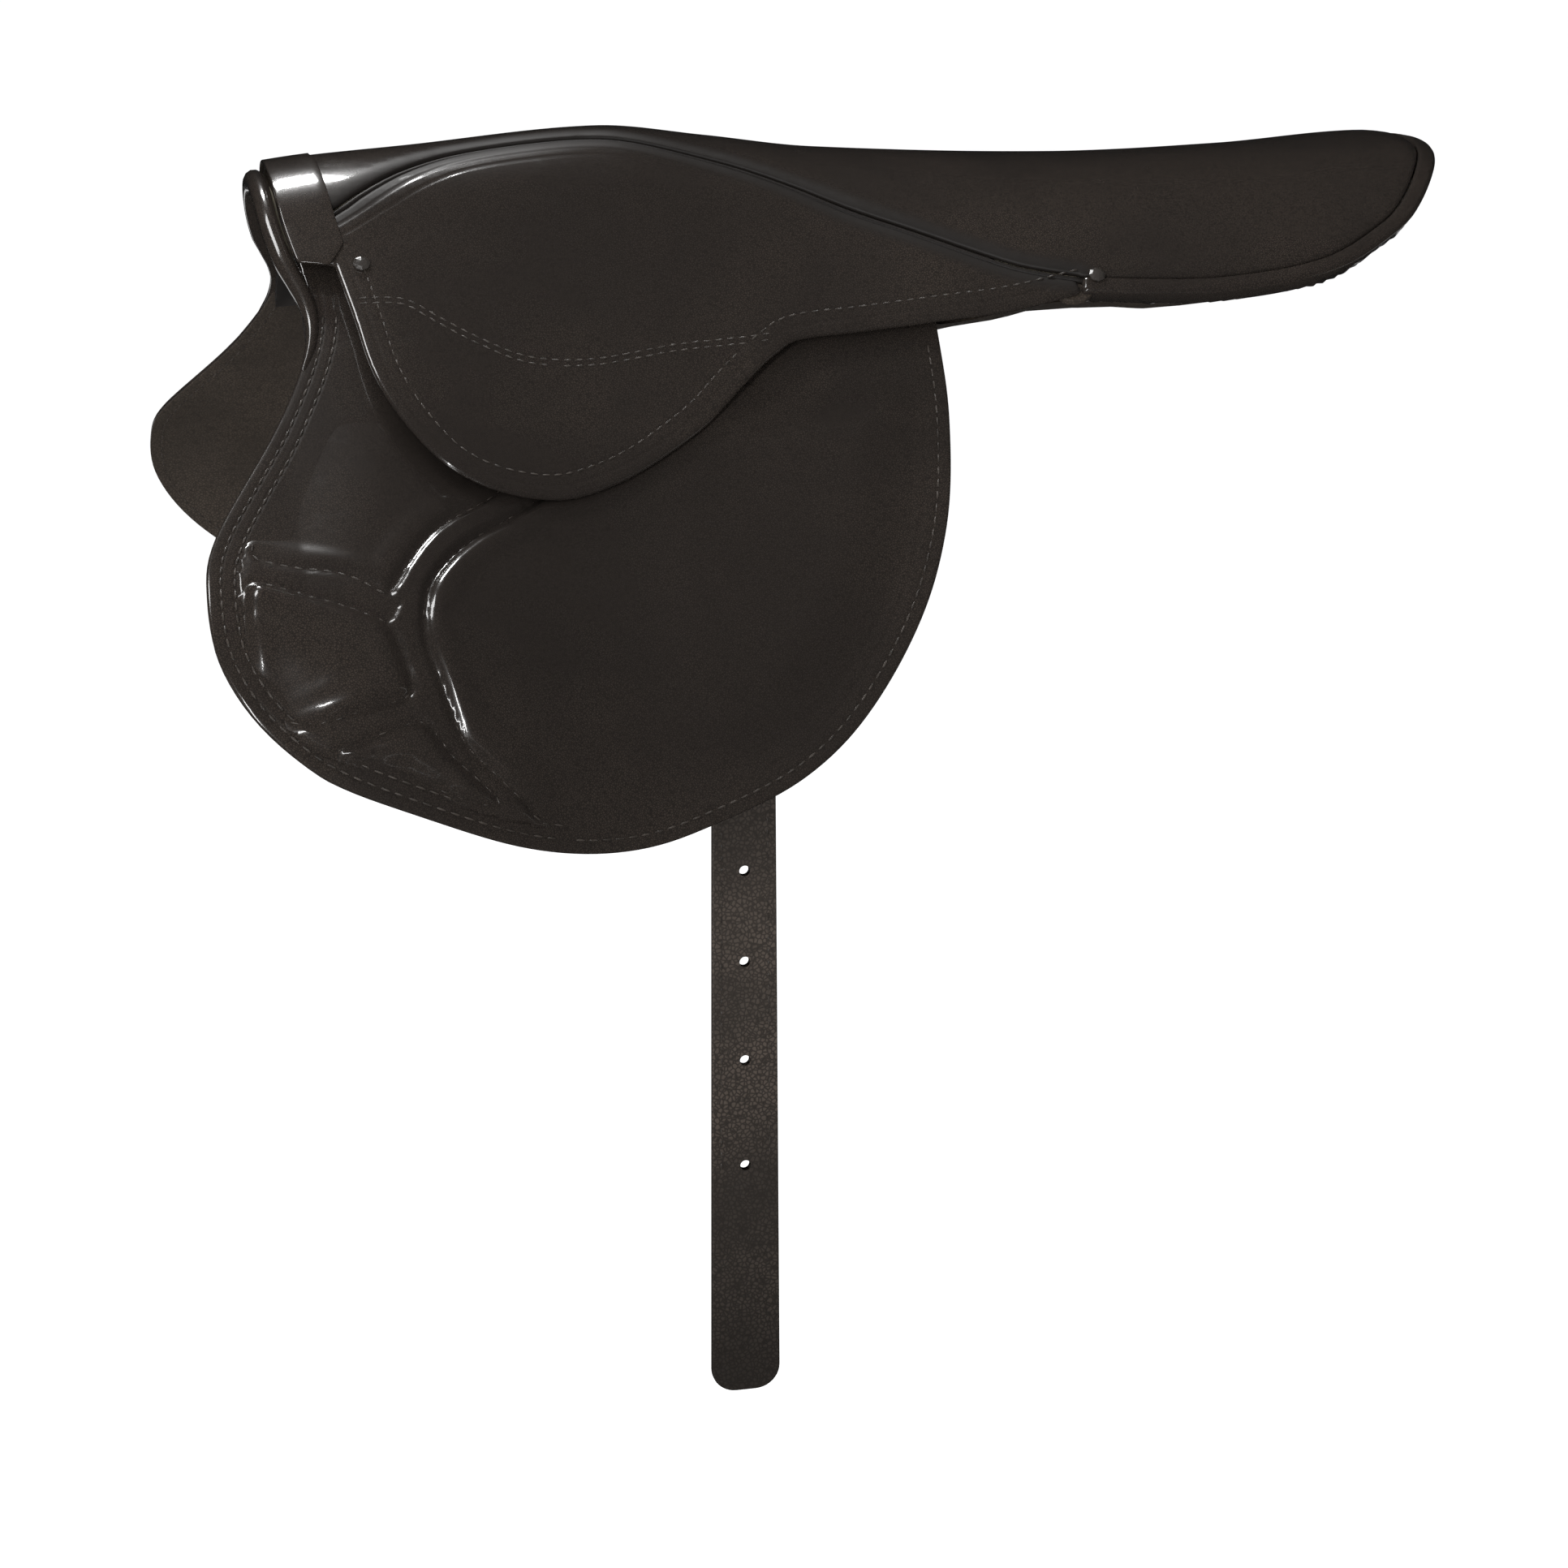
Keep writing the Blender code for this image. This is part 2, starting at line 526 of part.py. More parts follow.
def make_rails(mats, bars):
    """The straight stirrup rails, each riveted to its tree bar's two lugs."""
    height = PLATE_TOP + RAIL_SEAT
    first, last = bend(RAIL_FRONT, RAIL_S, height), bend(RAIL_REAR, RAIL_S, height)
    along = (last - first).normalized()
    middle_x = (RAIL_FRONT + RAIL_REAR) / 2
    outward = bend(middle_x, RAIL_S, 1.0) - bend(middle_x, RAIL_S, 0.0)
    outward = (outward - along * outward.dot(along)).normalized()
    across = outward.cross(along)
    place = Matrix((along, across, outward)).transposed().to_4x4()
    place.translation = (first + last) / 2 + outward * RAIL_THICK / 2
    length = (last - first).length
    bm = bmesh.new()
    bmesh.ops.create_cube(bm, size=1.0)
    bmesh.ops.scale(bm, vec=(length, RAIL_WIDTH, RAIL_THICK), verts=bm.verts)
    bmesh.ops.transform(bm, matrix=place, verts=bm.verts)
    rails = make_pair(bm, "stirrup_bar", mats["steel"])
    reach = length / 2 - LUG_WIDTH / 2
    depth = TREE_PLATE + RAIL_SEAT
    for end, shift in (("front", -reach), ("rear", reach)):
        foot = (first + last) / 2 + along * shift
        for side, label, rail, bar in ((-1, "near", rails[0], bars[0]), (1, "off", rails[1], bars[1])):
            at, axis = side_of(foot, side), side_of(outward, side)
            pegs(label + "_bar_rivet_" + end, at, axis,
                 [(-depth, PIN_RADIUS), (RAIL_THICK - RIVET_SINK, PIN_RADIUS)], mats["steel"])
            over = PIN_RADIUS + RIVET_CLEAR
            cutter = pegs(label + "_bar_bore_" + end, at, axis,
                          [(-depth - CUT_PAST, over), (RAIL_THICK + CUT_PAST, over)], mats["steel"])
            cut_out(rail, cutter)
            cut_out(bar, cutter)


def make_seat(mats):
    """Foam, cover, piping, felt, band, roll, binding and linings: what is fixed over the tree."""
    rim = [p for p in tail_inset(BINDING_WIDTH + FRONT_CLEAR + GAP) if p[1] >= 0]
    near_half = [(BAR_FRONT, FOAM_HALF), (FOAM_STEP_X, FOAM_HALF), (FOAM_STEP_X, FOAM_STEP_S)] + rim
    outline = mirrored([p for p in near_half if p[1] > 1e-6]) + near_half
    foam = cut_piece(outline, PLATE_TOP + LAYER_GAP, SKIN_LOW - LAYER_GAP)
    make_object(bend_piece(foam), "seat_foam", mats["foam"])

    side = WELT_WIDTH / 2 + GAP
    front_s = seam_s(seam_front()) - side
    nose = [(behind_roll(front_s * k / 4), front_s * k / 4) for k in range(4)]
    rim = [p for p in tail_inset(BINDING_WIDTH + FRONT_CLEAR) if p[1] >= 0]
    near_half = nose + seam_run(-side) + rim
    outline = mirrored([p for p in near_half if p[1] > 1e-6]) + near_half
    make_object(bend_piece(cut_piece(outline, SKIN_LOW, SKIN_TOP)), "seat_cover", mats["patent"])
    middle = SKIN_TOP + WELT_RISE - WELT_WIDTH / 2
    cord = [p for p in seam_run(0) if p[0] > WELT_FRONT]
    for label, flip in (("near", 1), ("off", -1)):
        cord_of_points(label + "_welt", [bend(x, flip * s, middle) for x, s in cord],
                       WELT_WIDTH / 2, 1, mats["piping"])

    felt_top = FOAM_HALF + FELT_TOP_GAP
    felt_rear = FOAM_STEP_X - FELT_REAR_GAP
    behind_rail = RAIL_REAR + FELT_RAIL_GAP
    over_slot = SLOT_TOP_S - FELT_SLOT_GAP
    felt = [(FELT_FRONT, felt_top), (felt_rear, felt_top), (felt_rear, FELT_LOW_S),
            (behind_rail, FELT_LOW_S), (behind_rail, over_slot), (FELT_FRONT, over_slot)]
    make_pair(bend_piece(cut_piece(felt, FELT_CLEAR, SKIN_LOW - LAYER_GAP)), "skirt_felt", mats["felt"])

    band = [(x * MM, s * MM) for x, s in BAND_EDGE]
    outline = band + mirrored(band)[1:-1]
    lift = SKIN_TOP + LAYER_GAP
    band = cut_piece(outline, lift, lift + BAND_LEATHER, [(BAND_INSET, BAND_ROUND)])
    make_object(bend_piece(band), "pommel_band", mats["patent"])
    make_roll(mats)

    outer, inner = tail_inset(0), tail_inset(BINDING_WIDTH)
    binding = cut_piece(outer + inner[::-1], PLATE_TOP - LINING,
                        SKIN_TOP + BINDING_RISE - BINDING_ROUND, [(BINDING_INSET, BINDING_ROUND)])
    make_object(bend_piece(binding), "tail_binding", mats["patent"])

    gullet_half = PANEL_IN_S - GULLET_GAP
    gullet = [(HEAD_FRONT, -gullet_half), (GULLET_REAR, -gullet_half), (GULLET_REAR, gullet_half),
              (HEAD_FRONT, gullet_half)]
    make_object(bend_piece(cut_piece(gullet, LINING_LOW, LINING_TOP)), "gullet_lining", mats["lining"])

    reach = BAR_LOW_S + TAIL_LINING_GAP
    behind_bars = BAR_REAR + TAIL_LINING_GAP
    rim = [p for p in tail_inset(BINDING_WIDTH + FRONT_CLEAR) if p[0] > TAIL_LINING_FRONT]
    inner = [(TAIL_LINING_FRONT, -reach), (behind_bars, -reach), (behind_bars, reach),
             (TAIL_LINING_FRONT, reach)]
    lining = cut_piece(rim + inner, PLATE_TOP - LINING, PLATE_TOP)
    make_object(bend_piece(lining), "tail_lining", mats["lining"])


def cord_of_points(name, points, radius, resolution, mat):
    """A round leather cord through the points."""
    curve = bpy.data.curves.new(name, "CURVE")
    curve.dimensions = "3D"
    curve.bevel_depth = radius
    curve.bevel_resolution = resolution
    curve.use_fill_caps = True
    curve.materials.append(mat)
    line = curve.splines.new("POLY")
    line.points.add(len(points) - 1)
    for place, point in zip(line.points, points):
        place.co = (*point, 1)
    item = bpy.data.objects.new(name, curve)
    bpy.context.collection.objects.link(item)


def make_roll(mats):
    """The rolled leather edge over the front of the head, as a bent round tube."""
    count = 18
    stations = [-ROLL_END + 2 * ROLL_END * k / count for k in range(count + 1)]
    cord_of_points("front_roll", [bend(front_edge(s), s, ROLL_HEIGHT) for s in stations],
                   ROLL_RADIUS, 2, mats["patent"])


def make_skirts(mats):
    """Each skirt in two: the upper part sewn to the seat, and the lobe that lifts below the fold."""
    outline = run_through(SKIRT_EDGE) + seam_run(WELT_WIDTH / 2 + GAP)[::-1]
    outline += [(behind_roll(SKIRT_NOSE_S), SKIRT_NOSE_S)]
    skirt = bend_piece(cut_piece(outline, SKIN_LOW, SKIN_TOP))
    lobe = skirt.copy()
    make_pair(part_at_fold(skirt, True), "skirt", mats["patent"])
    make_pair(part_at_fold(lobe, False), "skirt_lobe", mats["patent"], hinged=True)


def make_flaps(mats):
    """Each flap in two, with a notch over the stirrup rail in the fixed part."""
    edge = run_through(FLAP_EDGE)
    flap = bend_piece(cut_piece(edge, FLAP_LOW, 0))
    make_pair(part_at_fold(flap, False), "flap", mats["patent"], hinged=True)
    turn = max(range(len(edge)), key=lambda k: edge[k][1])
    front = [p for p in edge[:turn] if p[1] < FLAP_STOP_S]
    rear = [p for p in edge[turn:] if p[1] < FLAP_STOP_S]
    notch_front, notch_rear = RAIL_FRONT - NOTCH_GAP, RAIL_REAR + NOTCH_GAP
    notch = [(notch_front, FLAP_STOP_S), (notch_front, SLOT_TOP_S), (notch_rear, SLOT_TOP_S),
             (notch_rear, FLAP_STOP_S)]
    top = bend_piece(cut_piece(front + notch + rear, FLAP_LOW, 0))
    make_pair(part_at_fold(top, True), "flap_top", mats["patent"])


def make_pads(mats):
    """The four raised pads of each flap, with the sewn-down channels left between them."""
    for name, points in PAD_EDGES.items():
        outline = run_through(points + points[:1])[:-1]
        share = SMALL_PAD_SHARE if name == "lower_pad" else 1.0
        steps = [(PAD_SHOULDER_IN * share, PAD_SHOULDER_RISE), (PAD_CROWN_IN * share, PAD_CROWN_RISE)]
        pad = bend_piece(cut_piece(outline, PAD_BASE, PAD_EDGE, steps))
        make_pair(pad, name, mats["patent"], hinged=True)


def make_panels(mats):
    """The two stuffed panels that bear on the horse's back, either side of the gullet."""
    outline = run_through(PANEL_EDGE, PANEL_STEP)[:-1]
    panel = cut_piece(outline, 0, PANEL_WALL, [(PANEL_SHOULDER_IN, PANEL_SHOULDER_RISE),
                                               (PANEL_CROWN_IN, PANEL_CROWN_RISE)])
    bmesh.ops.scale(panel, vec=(1, 1, -1), verts=panel.verts)
    bmesh.ops.reverse_faces(panel, faces=panel.faces)
    bmesh.ops.translate(panel, vec=(0, 0, LINING_TOP), verts=panel.verts)
    make_pair(bend_piece(panel), "panel", mats["lining"])


def make_nails(mats):
    """Domed saddle nails at the two ends of each skirt."""
    for place, (x, s) in NAILS.items():
        foot = bend(x, s, SKIN_TOP + NAIL_CLEAR)
        axis = (foot - bend(x, s, 0)).normalized()
        for side, label in ((-1, "near"), (1, "off")):
            pegs(label + "_" + place + "_nail", side_of(foot, side), side_of(axis, side),
                 [(0, NAIL_RADIUS), (NAIL_RISE * 0.35, NAIL_RADIUS),
                  (NAIL_RISE * 0.8, NAIL_RADIUS * 0.65), (NAIL_RISE, NAIL_RADIUS * 0.2)],
                 mats["steel"])


def strap_width(z):
    """Width of a girth strap at height z, as it hangs."""
    share = (STRAP_TOP_Z - z) / (STRAP_TOP_Z - STRAP_END_Z)
    return STRAP_TOP_WIDTH + (STRAP_END_WIDTH - STRAP_TOP_WIDTH) * share


def strap_piece(top, bottom, inner, round_top=False, round_end=False):
    """A length of the near strap from height top to bottom, its inner face at y = -inner."""
    bm = bmesh.new()
    half_top, half_low = strap_width(top) / 2, strap_width(bottom) / 2
    corners = [(-half_top, top), (half_top, top), (half_low, bottom), (-half_low, bottom)]
    face = bm.faces.new([bm.verts.new((STRAP_X + x, -inner - STRAP_THICK, z)) for x, z in corners])
    if round_end:
        low = [v for v in face.verts if v.co.z < bottom + 1e-6]
        bmesh.ops.bevel(bm, geom=low, offset=STRAP_CORNER, segments=5, profile=0.5,
                        affect="VERTICES", material=-1)
    face = bm.faces[:][0]
    grown = bmesh.ops.extrude_face_region(bm, geom=[face])["geom"]
    bmesh.ops.translate(bm, vec=(0, STRAP_THICK, 0),
                        verts=[v for v in grown if isinstance(v, bmesh.types.BMVert)])
    bmesh.ops.recalc_face_normals(bm, faces=bm.faces)
    if round_top:
        edges = [e for e in bm.edges if all(v.co.z > top - 1e-6 for v in e.verts)
                 and abs(e.verts[0].co.x - e.verts[1].co.x) > STRAP_THICK]
        bmesh.ops.bevel(bm, geom=edges, offset=STRAP_THICK * 0.49, segments=3, profile=0.5,
                        affect="EDGES", material=-1)
    return bm


def make_web(mats):
    """The webs that carry the girth straps: over the tree bar's inside, then down in a tab."""
    half = WEB_WIDTH / 2
    middle = ARCH_TOP - LAYER_GAP - WEBBING / 2
    count = 4
    stations = [WEB_TOP_S + (WEB_LEAVE_S - WEB_TOP_S) * k / count for k in range(count + 1)]
    line = [bend(STRAP_X, s, middle) for s in stations]
    hang = STRAP_HALF_GAP - GAP - WEBBING / 2
    line += [Vector((STRAP_X, -hang, z)) for z in (STRAP_TOP_Z, TAB_END_Z)]
    bm = bmesh.new()
    rows = []
    for k, point in enumerate(line):
        before, after = line[max(k - 1, 0)], line[min(k + 1, len(line) - 1)]
        along = (after - before).normalized()
        if k == len(line) - 2:
            along = Vector((0, 0, -1))
        normal = Vector((0, along.z, -along.y)) * WEBBING / 2
        rows.append([bm.verts.new(p) for p in (point - normal - Vector((half, 0, 0)),
                                               point - normal + Vector((half, 0, 0)),
                                               point + normal + Vector((half, 0, 0)),
                                               point + normal - Vector((half, 0, 0)))])
    for row in rows:
        for k in range(4):
            bm.edges.new((row[k], row[(k + 1) % 4]))
    for a, b in zip(rows, rows[1:]):
        edges = [bm.edges.get((r[k], r[(k + 1) % 4])) for r in (a, b) for k in range(4)]
        bmesh.ops.bridge_loops(bm, edges=edges)
    for row in (rows[0], rows[-1]):
        bm.faces.new(row)
    bmesh.ops.triangulate(bm, faces=bm.faces)
    bmesh.ops.recalc_face_normals(bm, faces=bm.faces)
    return make_pair(bm, "girth_web", mats["web"])


def place_off(bm, moves):
    """Mirror a near piece to the off side and fold it by the given half turns about X."""
    bmesh.ops.scale(bm, vec=(1, -1, 1), verts=bm.verts)
    bmesh.ops.reverse_faces(bm, faces=bm.faces)
    for y, z in moves:
        bmesh.ops.rotate(bm, cent=(0, y, z), matrix=Matrix.Rotation(math.pi, 3, "X"), verts=bm.verts)


def make_straps(mats):
    """Girth straps in three lengths each. The near one hangs; the off one is folded up and stored."""
    webs = make_web(mats)
    inner = STRAP_HALF_GAP
    mid = inner + STRAP_THICK / 2
    pin = GIRTH_PIN_RADIUS
    foot_y = STRAP_HALF_GAP - GAP - WEBBING - GAP
    reach = WEBBING + STRAP_THICK + 3 * GAP
    near_pivot = Vector((STRAP_X, -mid, GIRTH_PIN_Z))
    knuckle = STRAP_THICK / 2
    lengths = {
        "near": ((STRAP_TOP_Z, FOLD_1_Z + knuckle + GAP), (FOLD_1_Z + knuckle, FOLD_2_Z + knuckle + GAP),
                 (FOLD_2_Z + knuckle, STRAP_END_Z)),
        "off": ((STRAP_TOP_Z, FOLD_1_Z + GAP / 2), (FOLD_1_Z - GAP / 2, FOLD_2_Z + GAP / 2),
                (FOLD_2_Z - GAP / 2, STRAP_END_Z)),
    }
    lap = LAP_GAP / 2
    turn_1 = (inner - lap, FOLD_1_Z)
    turn_2 = (inner - lap - STRAP_THICK - LAP_GAP, 2 * FOLD_1_Z - FOLD_2_Z)
    for side, label, web in ((-1, "near", webs[0]), (1, "off", webs[1])):
        near = side < 0
        upper, middle, end = [strap_piece(top, low, inner, near and k > 0, k == 2)
                              for k, (top, low) in enumerate(lengths[label])]
        pivots = [near_pivot, Vector((STRAP_X, -mid, FOLD_1_Z)), Vector((STRAP_X, -mid, FOLD_2_Z))]
        if not near:
            place_off(upper, [])
            place_off(middle, [turn_1])
            place_off(end, [turn_1, turn_2])
            pivots = [Vector((STRAP_X, mid, GIRTH_PIN_Z)), Vector((STRAP_X, *turn_1)),
                      Vector((STRAP_X, *turn_2))]
        made = [make_object(bm, label + "_girth_strap_" + part, mats["strap"], pivot)
                for bm, part, pivot in zip((upper, middle, end), ("upper", "middle", "end"), pivots)]
        foot = Vector((STRAP_X, side * foot_y, GIRTH_PIN_Z))
        axis = Vector((0, side, 0))
        pegs(label + "_girth_rivet", foot, axis,
             [(-GIRTH_PIN_RISE, GIRTH_PIN_HEAD * HEAD_TAPER), (0, GIRTH_PIN_HEAD), (0, pin),
              (reach, pin), (reach, GIRTH_PIN_HEAD),
              (reach + GIRTH_PIN_RISE, GIRTH_PIN_HEAD * HEAD_TAPER)], mats["steel"], 12)
        bore = pegs(label + "_girth_bore", foot, axis,
                    [(-CUT_PAST, pin + GAP), (reach + CUT_PAST, pin + GAP)], mats["steel"], 12)
        cut_out(web, bore)
        cut_out(made[0], bore)
        for k, z in enumerate(HOLE_Z):
            target = made[1] if z > FOLD_2_Z else made[2]
            spot = Vector((STRAP_X, side * mid, z))
            if not near:
                spot = Vector((STRAP_X, 2 * turn_1[0] - mid, 2 * FOLD_1_Z - z))
                if z <= FOLD_2_Z:
                    spot = Vector((STRAP_X, 2 * turn_2[0] - spot.y, 2 * turn_2[1] - spot.z))
            past = STRAP_THICK / 2 + LAP_GAP / 2
            punch = pegs(label + "_punch_" + str(k + 1), spot, Vector((0, 1, 0)),
                         [(-past, HOLE_RADIUS), (past, HOLE_RADIUS)], mats["steel"], 12)
            cut_out(target, punch)


def main():
    clear_scene()
    mats = {
        "patent": material("patent_leather", (0.027, 0.022, 0.019), 0.12),
        "piping": material("piping_leather", (0.024, 0.020, 0.017), 0.2),
        "strap": material("grained_strap", (0.034, 0.027, 0.022), 0.45),
        "lining": material("lining_leather", (0.045, 0.036, 0.029), 0.6),
        "felt": material("felt", (0.12, 0.11, 0.10), 0.95),
        "foam": material("seat_foam", (0.55, 0.50, 0.38), 0.9),
        "web": material("canvas_web", (0.42, 0.38, 0.30), 0.9),
        "tree": material("tree_laminate", (0.05, 0.05, 0.055), 0.4),
        "steel": material("steel", (0.55, 0.55, 0.56), 0.3, 1.0),
    }
    make_tree(mats)
    make_seat(mats)
    make_skirts(mats)
    make_flaps(mats)
    make_pads(mats)
    make_panels(mats)
    make_nails(mats)
    make_straps(mats)


main()
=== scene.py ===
# %% [markdown]
# # Racing saddle: from the plain solids to the finished look
#
# A flat-race saddle is a very light saddle. Thin patent leather is stretched over a small tree, and
# long flaps with stitched-down channels hang at both sides. The imported CAD model gives every size
# and every joint. Here each leather piece is made again in finer form and gets its stitches and its
# finish, and most pieces ride on the CAD body that they belong to.

# %% Load the frame
import itertools
import json
import math

import bmesh
import bpy
from mathutils import Matrix, Vector, kdtree, noise

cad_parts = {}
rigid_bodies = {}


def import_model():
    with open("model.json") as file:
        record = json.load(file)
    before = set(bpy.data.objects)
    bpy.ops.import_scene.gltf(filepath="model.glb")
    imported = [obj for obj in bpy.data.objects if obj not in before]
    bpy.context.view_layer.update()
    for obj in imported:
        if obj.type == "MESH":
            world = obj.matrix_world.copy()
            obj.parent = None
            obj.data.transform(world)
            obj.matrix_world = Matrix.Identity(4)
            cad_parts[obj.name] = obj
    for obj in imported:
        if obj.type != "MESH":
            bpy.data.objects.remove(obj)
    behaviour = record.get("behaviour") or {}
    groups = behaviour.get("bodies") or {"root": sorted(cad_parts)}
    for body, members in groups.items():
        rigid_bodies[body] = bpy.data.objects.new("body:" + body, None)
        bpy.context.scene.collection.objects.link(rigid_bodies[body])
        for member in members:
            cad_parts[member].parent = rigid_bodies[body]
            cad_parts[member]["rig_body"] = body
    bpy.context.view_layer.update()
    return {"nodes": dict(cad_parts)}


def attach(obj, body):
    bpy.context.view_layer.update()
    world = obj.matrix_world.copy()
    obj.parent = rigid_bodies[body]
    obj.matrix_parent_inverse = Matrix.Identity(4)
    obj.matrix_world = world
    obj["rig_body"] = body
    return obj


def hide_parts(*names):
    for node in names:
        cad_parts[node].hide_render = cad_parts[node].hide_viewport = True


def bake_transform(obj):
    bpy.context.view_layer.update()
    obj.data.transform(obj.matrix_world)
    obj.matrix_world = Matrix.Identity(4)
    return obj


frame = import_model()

MM = 0.001

# %% [markdown]
# ## The camera
#
# The photograph was taken a little from the front and from above. The camera is placed by the
# direction in which it looks back from the saddle, so that azimuth and height can be read directly.

# %% Camera at the photograph's angle
AZIMUTH, ELEVATION = math.radians(-13.6), math.radians(15.6)
AIM = Vector((-0.025, 0, -0.2))
DISTANCE = 1.285

camera_data = bpy.data.cameras.new("camera")
camera_data.lens = 76.12
camera = bpy.data.objects.new("camera", camera_data)
look_back = Vector((math.sin(AZIMUTH) * math.cos(ELEVATION),
                    -math.cos(AZIMUTH) * math.cos(ELEVATION), math.sin(ELEVATION)))
camera.location = AIM + look_back * DISTANCE
camera.rotation_euler = look_back.to_track_quat("Z", "Y").to_euler()
bpy.context.collection.objects.link(camera)
bpy.context.scene.camera = camera
bpy.context.scene.view_settings.view_transform = "Standard"
print("camera at", [round(v, 3) for v in camera.location])

# %% [markdown]
# ## A short way to write shader nodes
#
# A material is a small tree of nodes. One helper adds a node, gives it its values and plugs in what
# feeds it, so that each material below reads as a list of what lies on what.

# %% Node helpers
def add_node(tree, kind, inputs=None, **settings):
    """Add a shader node, set its options, and give its sockets values or links."""
    made = tree.nodes.new("ShaderNode" + kind)
    for name, value in settings.items():
        setattr(made, name, value)
    for socket, value in (inputs or {}).items():
        if isinstance(value, bpy.types.NodeSocket):
            tree.links.new(value, made.inputs[socket])
        else:
            made.inputs[socket].default_value = value
    return made


def start_material(name):
    """A material with its Principled shader, ready for nodes."""
    material = bpy.data.materials.new(name)
    material.use_nodes = True
    return material, material.node_tree, material.node_tree.nodes["Principled BSDF"]


def feed(tree, shader, **sockets):
    """Plug sockets into the shader, or set plain values on it. Underscores stand for spaces."""
    for name, value in sockets.items():
        socket = shader.inputs[name.replace("_", " ")]
        if isinstance(value, bpy.types.NodeSocket):
            tree.links.new(value, socket)
        else:
            socket.default_value = value


# %% [markdown]
# ## Five nodes that come back
#
# Sums, a change of range, a mix of colours, noise and bump occur in nearly every finish. Each gets
# one short function that gives back its result, ready to be plugged in.


# %% Short forms of five nodes
def reckon(tree, operation, first, second=0.0):
    """The result of a Math node on two values or sockets."""
    return add_node(tree, "Math", {0: first, 1: second}, operation=operation).outputs[0]


def spread(tree, value, start=0.0, end=1.0, low=0.0, high=1.0, curve="LINEAR"):
    """The value moved from the range start to end into the range low to high."""
    return add_node(tree, "MapRange", {"Value": value, "From Min": start, "From Max": end,
                                       "To Min": low, "To Max": high},
                    interpolation_type=curve).outputs["Result"]


def mix_colours(tree, share, first, second, **settings):
    """Two colours mixed by a share."""
    return add_node(tree, "Mix", {"Factor": share, "A": first, "B": second}, data_type="RGBA",
                    **settings).outputs["Result"]


def noise_value(tree, place, scale, detail, roughness, distortion=0.0):
    """Noise at a place: clouds, streaks or fibres, as its numbers say."""
    return add_node(tree, "TexNoise", {"Vector": place, "Scale": scale, "Detail": detail,
                                       "Roughness": roughness,
                                       "Distortion": distortion}).outputs["Fac"]


def relief(tree, height, depth, under=None):
    """Bump of a height, its depth in millimetres, laid over the bump under it."""
    over = {"Normal": under} if under else {}
    return add_node(tree, "Bump", {"Height": height, "Strength": 1.0, "Distance": depth * MM,
                                   **over}).outputs["Normal"]


# %% [markdown]
# ## Floor, background and lamps
#
# Glossy leather shows what stands round it, so the studio decides most of the look. The background
# is white to the camera and to reflections. A floor well below the strap takes a faint shadow. Two
# lamps over the saddle and a long one at the front left make the thin white lines on the edges.
# Dark cards, seen only by reflections, keep the flat leather dark, as in a real studio.

# %% White world
world = bpy.data.worlds.new("studio")
world.use_nodes = True
bpy.context.scene.world = world
sky = world.node_tree
path = add_node(sky, "LightPath")
seen = reckon(sky, "MAXIMUM", path.outputs["Is Camera Ray"], path.outputs["Is Glossy Ray"])
seen = reckon(sky, "MAXIMUM", seen, path.outputs["Is Transmission Ray"])
FILL = 0.62
background = sky.nodes["Background"]
feed(sky, background, Color=(1, 1, 1, 1), Strength=spread(sky, seen, low=FILL))
print("world: white to the camera,", FILL, "as fill light")


# %% Pale floor
def stand_object(bm, name):
    """Make the mesh an object in the scene."""
    mesh = bpy.data.meshes.new(name)
    bm.to_mesh(mesh)
    bm.free()
    made = bpy.data.objects.new(name, mesh)
    bpy.context.collection.objects.link(made)
    return made


FLOOR_Z, FLOOR_SIZE, FLOOR_GLOW = -0.62, 30.0, 0.52
bm = bmesh.new()
bmesh.ops.create_grid(bm, x_segments=1, y_segments=1, size=FLOOR_SIZE,
                      matrix=Matrix.Translation((0, 0, FLOOR_Z)))
floor = stand_object(bm, "floor")

floor_material, tree, shader = start_material("pale_floor")
path = add_node(tree, "LightPath")
seen = reckon(tree, "MAXIMUM", path.outputs["Is Camera Ray"], path.outputs["Is Glossy Ray"])
feed(tree, shader, Base_Color=(0.8, 0.8, 0.8, 1), Roughness=0.9, Specular_IOR_Level=0.1,
     Emission_Color=(1, 1, 1, 1), Emission_Strength=reckon(tree, "MULTIPLY", seen, FLOOR_GLOW))
floor.data.materials.append(floor_material)
print("floor at", FLOOR_Z, "m")

# %% [markdown]
# ## Lamps and cards for lacquer
#
# A highlight on lacquer is the mirror image of a lamp. So each lamp is placed by the direction in
# which the saddle sees it, and its width sets how broad the white line is. A small lamp gives a
# thin line, as in the photograph. Each is given by direction, distance, size in metres and watts.


# %% Lamps and dark cards
LAMP_AIM, CARD_AIM = Vector((-0.05, -0.05, -0.1)), Vector((-0.05, 0, -0.1))


def soft_lamp(name, direction, distance, size, power, turn=0):
    """A rectangular lamp seen from the saddle in the given direction, turned by some degrees."""
    data = bpy.data.lights.new(name, "AREA")
    data.shape = "RECTANGLE"
    data.size, data.size_y = size
    data.energy = power
    lamp = bpy.data.objects.new(name, data)
    lamp.location = LAMP_AIM + Vector(direction).normalized() * distance
    facing = Vector(direction).to_track_quat("Z", "Y").to_matrix()
    lamp.rotation_euler = (facing @ Matrix.Rotation(math.radians(turn), 3, "Z")).to_euler()
    bpy.context.collection.objects.link(lamp)


